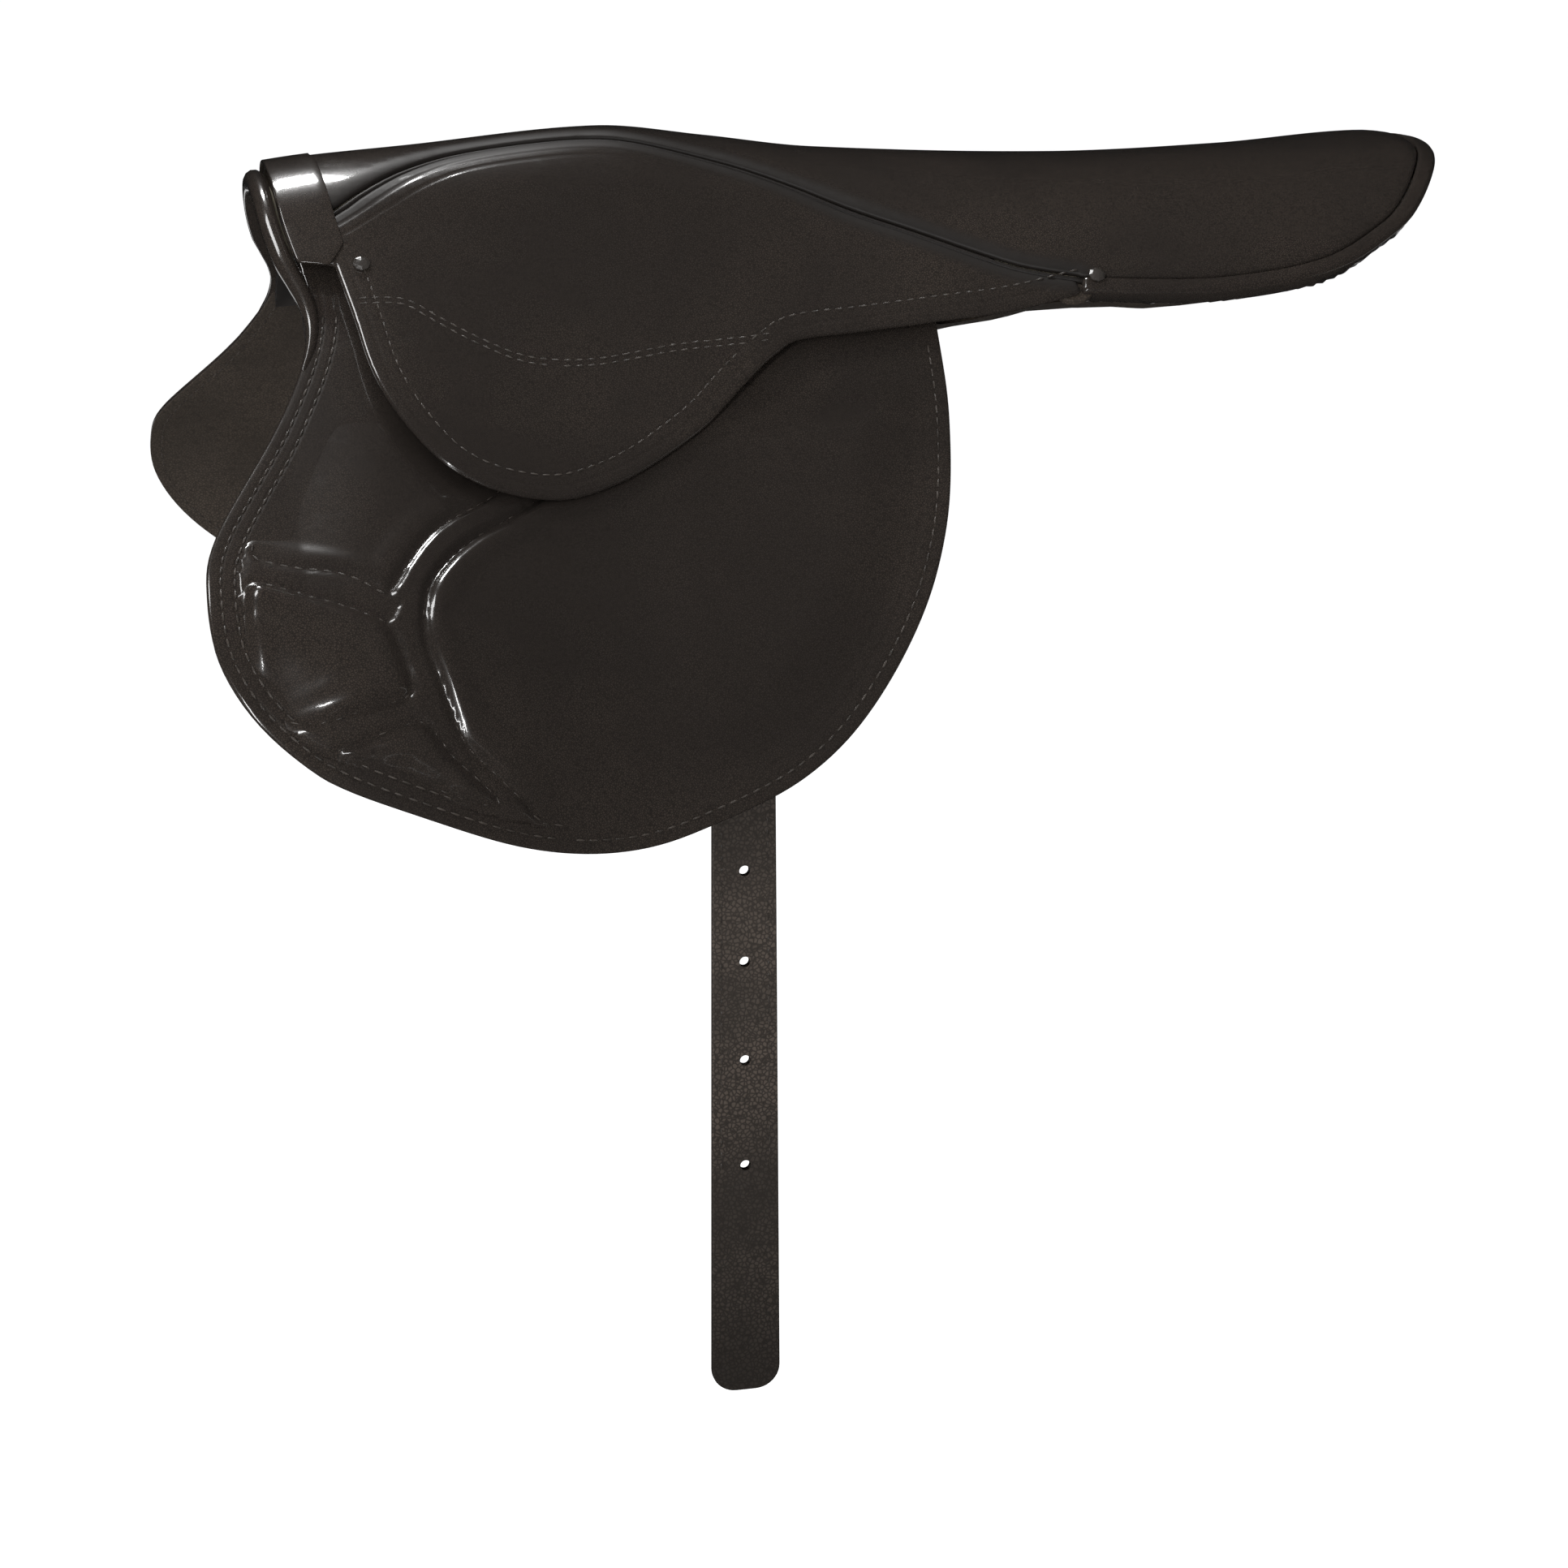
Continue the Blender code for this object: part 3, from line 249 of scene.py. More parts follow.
def dark_card(name, direction, distance, size):
    """A dark card that only reflections see."""
    bm = bmesh.new()
    toward = Vector(direction).normalized()
    place = Matrix.Translation(CARD_AIM + toward * distance)
    place @= toward.to_track_quat("Z", "Y").to_matrix().to_4x4() @ Matrix.Diagonal((*size, 1, 1))
    bmesh.ops.create_grid(bm, x_segments=1, y_segments=1, size=0.5, matrix=place)
    card = stand_object(bm, name)
    card.visible_camera = card.visible_diffuse = card.visible_shadow = False
    card.visible_transmission = False
    card.data.materials.append(card_material)


card_material, tree, shader = start_material("dark_card")
feed(tree, shader, Base_Color=(0.01, 0.01, 0.01, 1), Roughness=1.0, Specular_IOR_Level=0.0)
for name, direction, distance, size in (
        ("over_front", (0.1, -0.6, 0.8), 1.9, (4.4, 3.0)), ("above", (0, 0.1, 1.0), 1.75, (5.0, 4.4)),
        ("front", (0.1, -1.0, -0.15), 1.9, (4.4, 2.4)), ("below", (0, 0, -1.0), 0.5, (3.4, 3.4)),
        ("behind", (0.2, 1.0, 0.3), 1.9, (4.4, 3.4)), ("left", (-1.0, 0.1, 0.2), 1.9, (4.4, 3.6)),
        ("right", (1.0, 0.0, 0.2), 1.9, (4.4, 3.6)),
        ("over_left", (-0.75, -0.35, 0.65), 1.9, (3.2, 3.2))):
    dark_card("card_" + name, direction, distance, size)
soft_lamp("lamp_over", (-0.18, 0.42, 0.88), 1.3, (0.28, 0.20), 8)
soft_lamp("lamp_over_left", (-0.54, -0.02, 0.83), 1.3, (0.26, 0.42), 4)
soft_lamp("lamp_left", (-0.50, -0.84, 0.16), 1.25, (0.09, 0.95), 7, turn=-33)
print("lamps:", len(bpy.data.lights))

# %% [markdown]
# ## The bending rule
#
# Every leather piece is drawn as a flat pattern and bent over the saddle's cross-section, as the
# maker cuts it from a flat skin. A pattern point is (x, s, h): x along the saddle, s down the
# leather from the centre line, h outwards from the flap's face. The rule is the one of the CAD
# model, so what is drawn here lies on what carries it.

# %% Cross-sections of the saddle
TOP_LINE = [(-220, 41), (-200, 43.6), (-165, 46.5), (-95, 52.3), (-55, 48.2),
            (-15, 43.3), (80, 39.4), (150, 41.2), (205, 45), (226, 42)]
SECTIONS = [(-250, 36, 44, 37), (-190, 36, 45, 40), (-100, 38, 54, 51), (20, 55, 39, 55),
            (120, 84, 36, 56), (230, 90, 42, 56)]
FLANK_RUN, HEM_START, HEM_TURN, HEM_END = 50 * MM, 190 * MM, 245 * MM, 340 * MM
HEM_SLOPE, END_SLOPE = 66, 80
SKIN_LOW, SKIN_TOP = 5.5 * MM, 8.0 * MM


def through(points, column, x):
    """Value of one column of a list of points at x, on a smooth curve through them."""
    last = len(points) - 1
    if x <= points[0][0]:
        return points[0][column]
    if x >= points[last][0]:
        return points[last][column]
    i = max(k for k in range(last) if points[k][0] <= x)
    x0, x1 = points[i][0], points[i + 1][0]
    v0, v1 = points[i][column], points[i + 1][column]
    before, after = points[max(i - 1, 0)], points[min(i + 2, last)]
    slope0 = (v1 - before[column]) / (x1 - before[0])
    slope1 = (after[column] - v0) / (after[0] - x0)
    t = (x - x0) / (x1 - x0)
    span = x1 - x0
    return ((2 * t**3 - 3 * t**2 + 1) * v0 + (t**3 - 2 * t**2 + t) * span * slope0
            + (3 * t**2 - 2 * t**3) * v1 + (t**3 - t**2) * span * slope1)


# %% [markdown]
# ## Bending one point
#
# Down a cross-section the leather's slope grows evenly from stop to stop, so each stretch is an arc
# of a circle or a straight line. Walking along the stretches gives the point on the face, and the
# slope there says which way is outwards.


# %% Bend a pattern point
def bend(x, s, h):
    """Point of the saddle for a pattern point. Positive s goes down the near side, which is -Y."""
    x_mm = x / MM
    crown_end = through(SECTIONS, 1, x_mm) * MM
    crown, flank = through(SECTIONS, 2, x_mm), through(SECTIONS, 3, x_mm)
    stops = (0.0, crown_end, crown_end + FLANK_RUN, HEM_START, HEM_TURN, HEM_END)
    slopes = (0.0, crown, flank, flank, HEM_SLOPE, END_SLOPE)
    y, slope = 0.0, 0.0
    z = through(TOP_LINE, 1, x_mm) * MM - SKIN_TOP
    for start, stop, low, high in zip(stops, stops[1:], slopes, slopes[1:]):
        if abs(s) <= start:
            break
        run = min(abs(s), stop) - start
        first = math.radians(low)
        slope = math.radians(low + (high - low) * run / (stop - start))
        if abs(slope - first) < 1e-6:
            y += run * math.cos(first)
            z -= run * math.sin(first)
        else:
            radius = run / (slope - first)
            y += radius * (math.sin(slope) - math.sin(first))
            z -= radius * (math.cos(first) - math.cos(slope))
    y += h * math.sin(slope)
    z += h * math.cos(slope)
    return Vector((x, -math.copysign(y, s) if s else 0.0, z))


print("middle of the seat lies at", [round(v / MM, 1) for v in bend(-0.02, 0, SKIN_TOP)], "mm")

# %% [markdown]
# ## Runs and patterns
#
# A run is a list of pattern points. A smooth curve is drawn through a few given points, open for a
# seam and closed for the outline of a piece.

# %% Smooth runs
def smooth_point(a, b, c, d, t):
    """A point between b and c on a smooth curve that also follows a and d."""
    return 0.5 * (2 * b + (c - a) * t + (2 * a - 5 * b + 4 * c - d) * t**2
                  + (3 * b - a - 3 * c + d) * t**3)


def run_through(points, step=4.0):
    """A smooth run through pattern points in millimetres, as points in metres."""
    knots = [Vector(p) for p in points]
    ends = [knots[0] * 2 - knots[1]] + knots + [knots[-1] * 2 - knots[-2]]
    out = [knots[0]]
    for a, b, c, d in zip(ends, ends[1:], ends[2:], ends[3:]):
        count = max(1, round((c - b).length / step))
        out += [smooth_point(a, b, c, d, k / count) for k in range(1, count + 1)]
    return [(p.x * MM, p.y * MM) for p in out]


def closed_run(points, step=4.0):
    """A smooth closed run through pattern points in millimetres."""
    out = []
    for k in range(len(points)):
        a, b, c, d = (Vector(points[(k + j) % len(points)]) for j in (-1, 0, 1, 2))
        count = max(1, round((c - b).length / step))
        out += [smooth_point(a, b, c, d, j / count) for j in range(count)]
    return [(p.x * MM, p.y * MM) for p in out]


print("a run through 3 points has", len(run_through([(0, 0), (20, 0), (40, 10)])), "points")

# %% [markdown]
# ## Clean outlines and moved runs
#
# A knife can't turn on the spot, so sharp corners of a pattern are rounded a little, and points that
# almost coincide are left out. Seams and stitch rows lie at a fixed distance from an edge, so a run
# can be moved sideways and mirrored.

# %% Clean, move and mirror a run
CORNER, CORNER_CUT, POINT_GAP = math.radians(28), 1.6 * MM, 1.5 * MM


def clean_outline(run):
    """A closed outline without points that lie close together, its corners a little rounded."""
    kept = []
    for point in run:
        if not kept or math.dist(point, kept[-1]) > POINT_GAP:
            kept.append(point)
    if math.dist(kept[0], kept[-1]) <= POINT_GAP:
        kept.pop()
    out = []
    for k, b in enumerate(kept):
        a, c = Vector(kept[k - 1]), Vector(kept[(k + 1) % len(kept)])
        b = Vector(b)
        if (b - a).angle(c - b) < CORNER:
            out.append(b)
            continue
        back, on = (min(CORNER_CUT, side.length * 0.45) for side in (b - a, c - b))
        first, last = b - (b - a).normalized() * back, b + (c - b).normalized() * on
        out += [first, (first + 2 * b + last) / 4, last]
    return [tuple(p) for p in out]


def offset_run(run, distance):
    """The run moved sideways, to the left of its own direction."""
    out = []
    for k, (x, s) in enumerate(run):
        before, after = run[max(k - 1, 0)], run[min(k + 1, len(run) - 1)]
        along = Vector((after[0] - before[0], after[1] - before[1])).normalized()
        out.append((x - along.y * distance, s + along.x * distance))
    return out


def mirrored(run):
    """The run on the other side of the centre line, in reverse order."""
    return [(x, -s) for x, s in reversed(run)]


print("moved to the left:", offset_run([(0, 0), (1, 0)], 0.5))

# %% [markdown]
# ## Cutting and bending leather
#
# A pattern becomes a solid in four steps: one face of its outline is extruded to the leather's
# thickness, its rims are bevelled, rings are inset where the surface has to swell or dip near its
# edge, and a grid of cuts gives it enough points to bend smoothly. The bevel and the rings come
# first, because on a flat piece they are exact.

# %% Cut a flat piece
def slice_mesh(bm, point, normal, dist, **options):
    """Cut the whole mesh on a plane, and return what lies on the cut."""
    return bmesh.ops.bisect_plane(bm, geom=bm.verts[:] + bm.edges[:] + bm.faces[:], dist=dist,
                                  plane_co=point, plane_no=normal, **options)["geom_cut"]


def grid_cuts(bm, step):
    """Cut a flat mesh on evenly spaced lines along and across."""
    for axis in (0, 1):
        low = min(v.co[axis] for v in bm.verts)
        high = max(v.co[axis] for v in bm.verts)
        for k in range(math.ceil(low / step), math.floor(high / step) + 1):
            point, normal = [0, 0, 0], [0, 0, 0]
            point[axis], normal[axis] = k * step, 1
            slice_mesh(bm, point, normal, 0.15 * MM)


def bevel_rims(bm, edges, size, segments=3):
    """Round edges off by a size."""
    bmesh.ops.bevel(bm, geom=edges, offset=size, segments=segments, profile=0.5, affect="EDGES",
                    material=-1)


def cut_flat(outline, low, high, rim=0.6 * MM, rim_low=None, ring=0.0, step=6 * MM):
    """A flat solid of the outline's shape, with bevelled rims and a ring inset in its top."""
    bm = bmesh.new()
    base = bm.faces.new([bm.verts.new((x, -s, low)) for x, s in clean_outline(outline)])
    base.normal_update()
    if base.normal.z > 0:
        base.normal_flip()
    raised = bmesh.ops.extrude_face_region(bm, geom=[base])["geom"]
    top_verts = [v for v in raised if isinstance(v, bmesh.types.BMVert)]
    top = next(f for f in raised if isinstance(f, bmesh.types.BMFace))
    bmesh.ops.translate(bm, vec=(0, 0, high - low), verts=top_verts)
    bmesh.ops.recalc_face_normals(bm, faces=bm.faces)
    for size, height in ((rim, high), (rim if rim_low is None else rim_low, low)):
        edges = [e for e in bm.edges if all(abs(v.co.z - height) < 1e-7 for v in e.verts)]
        if size:
            bevel_rims(bm, edges, size)
    top = max((f for f in bm.faces if f.normal.z > 0.9), key=lambda f: f.calc_area())
    if ring:
        bmesh.ops.inset_region(bm, faces=[top], thickness=ring, depth=0.0, use_even_offset=True)
    grid_cuts(bm, step)
    return bm


# %% [markdown]
# ## From the flat pattern to the bent piece
#
# Before a piece is bent, its flat pattern is kept as a UV map, and each point notes how far it lies
# from the edge. Seams, stitch marks and worn lacquer can then follow the edge, however the piece
# curves. The distance comes from a search tree of points along the outline.


# %% Bend it and note its pattern
def nearest(points):
    """A search tree of pattern points."""
    tree = kdtree.KDTree(len(points))
    for k, (x, s) in enumerate(points):
        tree.insert((x, s, 0), k)
    tree.balance()
    return tree


def edge_finder(outline, closed=True):
    """A function that gives a pattern point's distance from the outline."""
    samples = []
    for (x0, s0), (x1, s1) in zip(outline, outline[1:] + outline[:closed]):
        count = max(1, math.ceil(math.dist((x0, s0), (x1, s1)) / MM))
        samples += [(x0 + (x1 - x0) * k / count, s0 + (s1 - s0) * k / count) for k in range(count)]
    tree = nearest(samples)
    return lambda x, s: tree.find((x, s, 0))[2]


def note_pattern(bm):
    """Keep the flat pattern as a UV map."""
    pattern = bm.loops.layers.uv.new("pattern")
    for face in bm.faces:
        for loop in face.loops:
            loop[pattern].uv = (loop.vert.co.x * 10, -loop.vert.co.y * 10)


def bend_flat(bm, outline, lift=None, dull=None):
    """Bend a flat piece. lift(x, s, edge, h) adds height, dull(x, s) says where lacquer is worn and
    where the colour gets painted shade.
    """
    note_pattern(bm)
    rim = bm.verts.layers.float.new("edge")
    worn = bm.verts.layers.float.new("dull")
    inside = edge_finder(outline)
    for face in bm.faces:
        if face.normal.z < -0.5:
            face.material_index = 1
    for vert in bm.verts:
        x, s, h = vert.co.x, -vert.co.y, vert.co.z
        vert[rim] = inside(x, s)
        vert[worn] = dull(x, s) if dull else 0.0
        if lift:
            h += lift(x, s, vert[rim], h)
        vert.co = bend(x, s, h)
    bmesh.ops.triangulate(bm, faces=[f for f in bm.faces if len(f.verts) > 4])
    return bm


# %% [markdown]
# ## Pieces and pairs
#
# A saddle is the same on both sides, so one mesh serves for both and is mirrored for the off side.
# A mirror turns faces inside out, so they are reversed. Where one skin is parted over two bodies,
# both parts keep the normals of the whole, and no seam shows between them.


# %% Turn it into pieces
def keep_normals(bm):
    """Note the whole piece's normals, so that its parts still shade as one surface once parted."""
    bmesh.ops.recalc_face_normals(bm, faces=bm.faces)
    bm.normal_update()
    whole = bm.verts.layers.float_vector.new("whole")
    for vert in bm.verts:
        vert[whole] = vert.normal


def finish_piece(bm, name, materials, body, replaced=()):
    """Make the mesh an object that rides on a CAD body and stands for CAD nodes."""
    bmesh.ops.recalc_face_normals(bm, faces=bm.faces)
    piece = stand_object(bm, name)
    mesh = piece.data
    mesh.shade_smooth()
    if "whole" in mesh.attributes:
        whole = [Vector(item.vector).normalized() for item in mesh.attributes["whole"].data]
        own = Vector((0, 0, 0))
        mesh.normals_split_custom_set(
            [own if face.material_index else whole[mesh.loops[k].vertex_index]
             for face in mesh.polygons for k in face.loop_indices])
    for material in materials:
        mesh.materials.append(material)
    if body:
        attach(piece, body)
    if replaced:
        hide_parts(*replaced)
    return piece


def finish_pair(bm, name, materials, body, replaced=()):
    """The near piece and its mirror image. In names, SIDE stands for near or off."""
    other = bm.copy()
    bmesh.ops.scale(other, vec=(1, -1, 1), verts=other.verts)
    bmesh.ops.reverse_faces(other, faces=other.faces)
    whole = other.verts.layers.float_vector.get("whole")
    for vert in other.verts if whole else ():
        vert[whole] = vert[whole] * Vector((1, -1, 1))
    made = []
    for mesh, side in ((bm, "near"), (other, "off")):
        nodes = [node.replace("SIDE", side) for node in replaced]
        made.append(finish_piece(mesh, side + "_" + name, materials,
                                 body and body.replace("SIDE", side), nodes))
    return made


# %% [markdown]
# ## What the leather finishes share
#
# Three effects come back in most materials: the grain of the skin, a slow drift of tone over a
# hide, and fine scuffs. Each is built once as a node group with named sockets, and each material
# places it with its own values.

# %% Node groups
def start_group(name, inputs, outputs):
    """A node group, what it is given and what it gives back, as named sockets."""
    group = bpy.data.node_groups.new(name, "ShaderNodeTree")
    for socket, kind, value in inputs:
        made = group.interface.new_socket(socket, in_out="INPUT", socket_type="NodeSocket" + kind)
        if value is not None:
            made.default_value = value
    for socket, kind in outputs:
        group.interface.new_socket(socket, in_out="OUTPUT", socket_type="NodeSocket" + kind)
    return (group, group.nodes.new("NodeGroupInput").outputs,
            group.nodes.new("NodeGroupOutput").inputs)


grain, given, result = start_group("leather_grain",
    [("Vector", "Vector", None), ("Scale", "Float", 900.0), ("Wrinkle", "Float", 0.35)],
    [("Height", "Float"), ("Pores", "Float")])
cells = add_node(grain, "TexVoronoi", {"Vector": given["Vector"], "Scale": given["Scale"]},
                 feature="DISTANCE_TO_EDGE")
smooth = spread(grain, cells.outputs["Distance"], end=0.28, curve="SMOOTHSTEP")
slow = reckon(grain, "MULTIPLY", given["Scale"], 0.22)
folds = noise_value(grain, given["Vector"], slow, 3.0, 0.55)
height = add_node(grain, "Mix", {"Factor": given["Wrinkle"], "A": smooth, "B": folds})
grain.links.new(height.outputs["Result"], result["Height"])
grain.links.new(reckon(grain, "SUBTRACT", 1.0, smooth), result["Pores"])

# %% Drift of tone
drift, given, result = start_group("tone_drift",
    [("Vector", "Vector", None), ("Scale", "Float", 14.0), ("Deep", "Color", (0.01, 0.008, 0.007, 1)),
     ("Pale", "Color", (0.04, 0.03, 0.02, 1)), ("Bias", "Float", 0.5)],
    [("Color", "Color"), ("Mask", "Float")])
clouds = noise_value(drift, given["Vector"], given["Scale"], 4.0, 0.6, 0.4)
low, high = (reckon(drift, sign, given["Bias"], 0.18) for sign in ("SUBTRACT", "ADD"))
mask = spread(drift, clouds, low, high, curve="SMOOTHSTEP")
drift.links.new(mix_colours(drift, mask, given["Deep"], given["Pale"]), result["Color"])
drift.links.new(mask, result["Mask"])

# %% Scuffs
scuff, given, result = start_group("scuffs",
    [("Vector", "Vector", None), ("Scale", "Float", 60.0), ("Amount", "Float", 0.3)],
    [("Mask", "Float")])
stretched = add_node(scuff, "VectorMath", {0: given["Vector"], 1: (1.0, 0.35, 3.2)},
                     operation="MULTIPLY")
streaks = noise_value(scuff, stretched.outputs[0], given["Scale"], 5.0, 0.7, 0.3)
thin = spread(scuff, streaks, 0.56, 0.76)
scuff.links.new(reckon(scuff, "MULTIPLY", thin, given["Amount"]), result["Mask"])
print("groups:", [g.name for g in (grain, drift, scuff)])


def add_group(tree, group, **inputs):
    """Place a node group in a material, with values or links for its sockets."""
    return add_node(tree, "Group", inputs, node_tree=group)


# %% [markdown]
# ## Leather finishes
#
# Patent leather is leather under a clear lacquer. The lacquer is the shader's coat, which makes
# sharp reflections, and the skin below keeps a softer gloss. A very shallow grain and slow waves in
# the bump break up the reflections, because no stretched skin is a perfect mirror. Beside a seam
# the lacquer is rubbed off, and the colour there is painted darker as painted shade in the seam's
# groove. The strap and the linings have no lacquer, only grain.

# %% Patent leather
def leather(name, deep, pale, rough, coat, grain_size, grain_depth, wave_depth=0.0, scuffing=0.2,
            spec=0.5):
    """A leather: drift of tone, grain, scuffs that dull it, lacquer worn off at seams, and painted
    shade beside seams.
    """
    material, tree, shader = start_material(name)
    place = add_node(tree, "TexCoord").outputs["Object"]
    tone = add_group(tree, drift, Vector=place, Scale=11.0, Deep=(*deep, 1), Pale=(*pale, 1),
                     Bias=0.52)
    skin = add_group(tree, grain, Vector=place, Scale=grain_size, Wrinkle=0.4)
    worn = add_group(tree, scuff, Vector=place, Scale=55.0, Amount=scuffing)
    colour = mix_colours(tree, skin.outputs["Pores"], tone.outputs["Color"],
                         (*[c * 0.7 for c in deep], 1))
    seam_wear_and_shade_mask = add_node(tree, "Attribute", attribute_name="dull").outputs["Fac"]
    rubbed = reckon(tree, "MAXIMUM", worn.outputs["Mask"], seam_wear_and_shade_mask)
    # Painted shade: beside a seam the colour is darkened, standing in for the shade in the seam's
    # groove.
    colour = mix_colours(tree, seam_wear_and_shade_mask, colour, (*[c * 0.6 for c in deep], 1))
    bump = relief(tree, skin.outputs["Height"], grain_depth)
    if wave_depth:
        bump = relief(tree, noise_value(tree, place, 26.0, 2.0, 0.45), wave_depth, bump)
    feed(tree, shader, Base_Color=colour, Roughness=spread(tree, rubbed, low=rough, high=rough + 0.3),
         Normal=bump, Coat_Weight=coat, Coat_Roughness=0.05, Specular_IOR_Level=spec)
    if coat:
        feed(tree, shader, Coat_Weight=spread(tree, seam_wear_and_shade_mask, low=coat, high=0.0), Coat_Normal=bump)
    return material


patent = leather("patent_leather", (0.0265, 0.0218, 0.0190), (0.043, 0.0340, 0.0280), 0.22, 0.9,
                 1300.0, 0.004, wave_depth=0.30, scuffing=0.25, spec=0.3)
piping_leather = leather("piping_leather", (0.016, 0.013, 0.0115), (0.026, 0.021, 0.018), 0.5, 0.0,
                         1500.0, 0.01, spec=0.3)
lining_leather = leather("lining_leather", (0.046, 0.036, 0.028), (0.078, 0.060, 0.046), 0.62, 0.0,
                         900.0, 0.05, scuffing=0.4, spec=0.25)
strap_leather = leather("strap_leather", (0.036, 0.029, 0.024), (0.074, 0.058, 0.047), 0.42, 0.0,
                        620.0, 0.10, wave_depth=0.1, scuffing=0.5, spec=0.4)
print("leathers:", patent.name, piping_leather.name, lining_leather.name, strap_leather.name)

# %% [markdown]
# ## The strap is painted paler upwards
#
# The strap's colour is painted paler towards its top and darker towards its end, as painted light
# and shade. The height on the strap sets a factor, and the colour is multiplied by it.

# %% Strap painted paler upwards
tree, shader = strap_leather.node_tree, strap_leather.node_tree.nodes["Principled BSDF"]
place = add_node(tree, "TexCoord").outputs["Object"]
height = add_node(tree, "SeparateXYZ", {"Vector": place}).outputs["Z"]
DARK_Z, PALE_Z = -0.40, -0.23
# Painted light and shade: a factor from the height makes the strap paler at the top and darker at its
# end.
painted_light_by_height = spread(tree, height, DARK_Z, PALE_Z, 0.75, 1.55)
under = shader.inputs["Base Color"].links[0].from_socket
feed(tree, shader, Base_Color=mix_colours(tree, 1.0, under, painted_light_by_height, blend_type="MULTIPLY"))
print("the strap is darkest below", DARK_Z, "m and palest above", PALE_Z, "m")

# %% [markdown]
# ## Sewn leather
#
# Thread pulls the skin down along a row of stitches. The mark is too shallow to model, so it is
# bump: the distance from the edge, which each point has noted, is compared with the rows' places.

# %% Sewn leather
HEM_ROWS = 4.5 * MM, 9.0 * MM
SKIRT_ROW = 9.0 * MM
rows, given, result = start_group("sewn_rows",
    [("Distance", "Float", 1.0), ("First row", "Float", HEM_ROWS[0] / MM),
     ("Second row", "Float", HEM_ROWS[1] / MM)],
    [("Height", "Float")])
heights = []
for name in ("First row", "Second row"):
    away = reckon(rows, "ABSOLUTE", reckon(rows, "SUBTRACT", given["Distance"], given[name]))
    heights.append(spread(rows, away, end=1.5, curve="SMOOTHERSTEP"))
rows.links.new(reckon(rows, "MINIMUM", *heights), result["Height"])

sewn_patent = patent.copy()
sewn_patent.name = "sewn_patent_leather"
tree = sewn_patent.node_tree
shader = tree.nodes["Principled BSDF"]
distance = add_node(tree, "Attribute", attribute_name="edge").outputs["Fac"]
drawn = add_group(tree, rows, Distance=reckon(tree, "MULTIPLY", distance, 1 / MM))
under = shader.inputs["Normal"].links[0].from_socket
bump = relief(tree, drawn.outputs["Height"], 0.12, under)
feed(tree, shader, Normal=bump, Coat_Normal=bump)
print("sewn leather draws down along rows", [r / MM for r in HEM_ROWS], "mm inside an edge")

# %% [markdown]
# ## Thread, steel and laminate
#
# Waxed thread is twisted, so a wave in its bump stands for the twist. Steel and the tree's laminate
# share one recipe: a drift of tone under fine scratches that dull it.

# %% Thread, steel and laminate
thread, tree, shader = start_material("waxed_thread")
place = add_node(tree, "TexCoord").outputs["Object"]
twist = add_node(tree, "TexWave", {"Vector": place, "Scale": 900.0, "Distortion": 1.5, "Detail": 1.0})
tone = add_group(tree, drift, Vector=place, Scale=160.0, Deep=(0.032, 0.027, 0.023, 1),
                 Pale=(0.068, 0.057, 0.049, 1))
feed(tree, shader, Base_Color=tone.outputs["Color"], Roughness=0.28,
     Normal=relief(tree, twist.outputs["Fac"], 0.05))


def metal(name, deep, pale, rough, metallic=1.0):
    """A worn metal or hard laminate, with fine scratches that dull it."""
    material, tree, shader = start_material(name)
    place = add_node(tree, "TexCoord").outputs["Object"]
    tone = add_group(tree, drift, Vector=place, Scale=45.0, Deep=(*deep, 1), Pale=(*pale, 1))
    worn = add_group(tree, scuff, Vector=place, Scale=240.0, Amount=0.8)
    dull = spread(tree, worn.outputs["Mask"], low=rough, high=rough + 0.25)
    feed(tree, shader, Base_Color=tone.outputs["Color"], Roughness=dull, Metallic=metallic,
         Normal=relief(tree, worn.outputs["Mask"], 0.03))
    return material


steel = metal("steel", (0.42, 0.42, 0.43), (0.62, 0.61, 0.60), 0.22)
dark_nail = metal("dark_nail", (0.030, 0.026, 0.023), (0.050, 0.044, 0.040), 0.25, metallic=0.0)
laminate = metal("tree_laminate", (0.018, 0.016, 0.015), (0.034, 0.030, 0.028), 0.35, metallic=0.0)
print("hard finishes:", steel.name, dark_nail.name, laminate.name)

# %% [markdown]
# ## Felt, foam and canvas
#
# These stuffs are matt and full of fibres or cells. One recipe with a fine noise serves for all, and
# its scale and depth tell them apart. A little sheen stands for the fuzz on top.


# %% Felt, foam and canvas
def soft_stuff(name, deep, pale, scale, depth):
    """A matt soft stuff: fibres or cells as a fine noise in colour and bump."""
    material, tree, shader = start_material(name)
    place = add_node(tree, "TexCoord").outputs["Object"]
    tone = add_group(tree, drift, Vector=place, Scale=scale / 8, Deep=(*deep, 1), Pale=(*pale, 1))
    fibres = noise_value(tree, place, scale, 6.0, 0.7)
    feed(tree, shader, Base_Color=tone.outputs["Color"], Roughness=0.95, Sheen_Weight=0.2,
         Specular_IOR_Level=0.15, Normal=relief(tree, fibres, depth))
    return material


felt = soft_stuff("felt", (0.09, 0.082, 0.075), (0.15, 0.138, 0.125), 700.0, 0.25)
foam = soft_stuff("foam", (0.46, 0.41, 0.30), (0.60, 0.55, 0.42), 500.0, 0.2)
canvas = soft_stuff("canvas", (0.34, 0.31, 0.24), (0.46, 0.42, 0.33), 1200.0, 0.2)
print("soft finishes:", felt.name, foam.name, canvas.name)

# %% [markdown]
# ## The edges and seams, as runs
#
# These lists are the cut patterns, in millimetres of x and s. They are the ones of the CAD model.

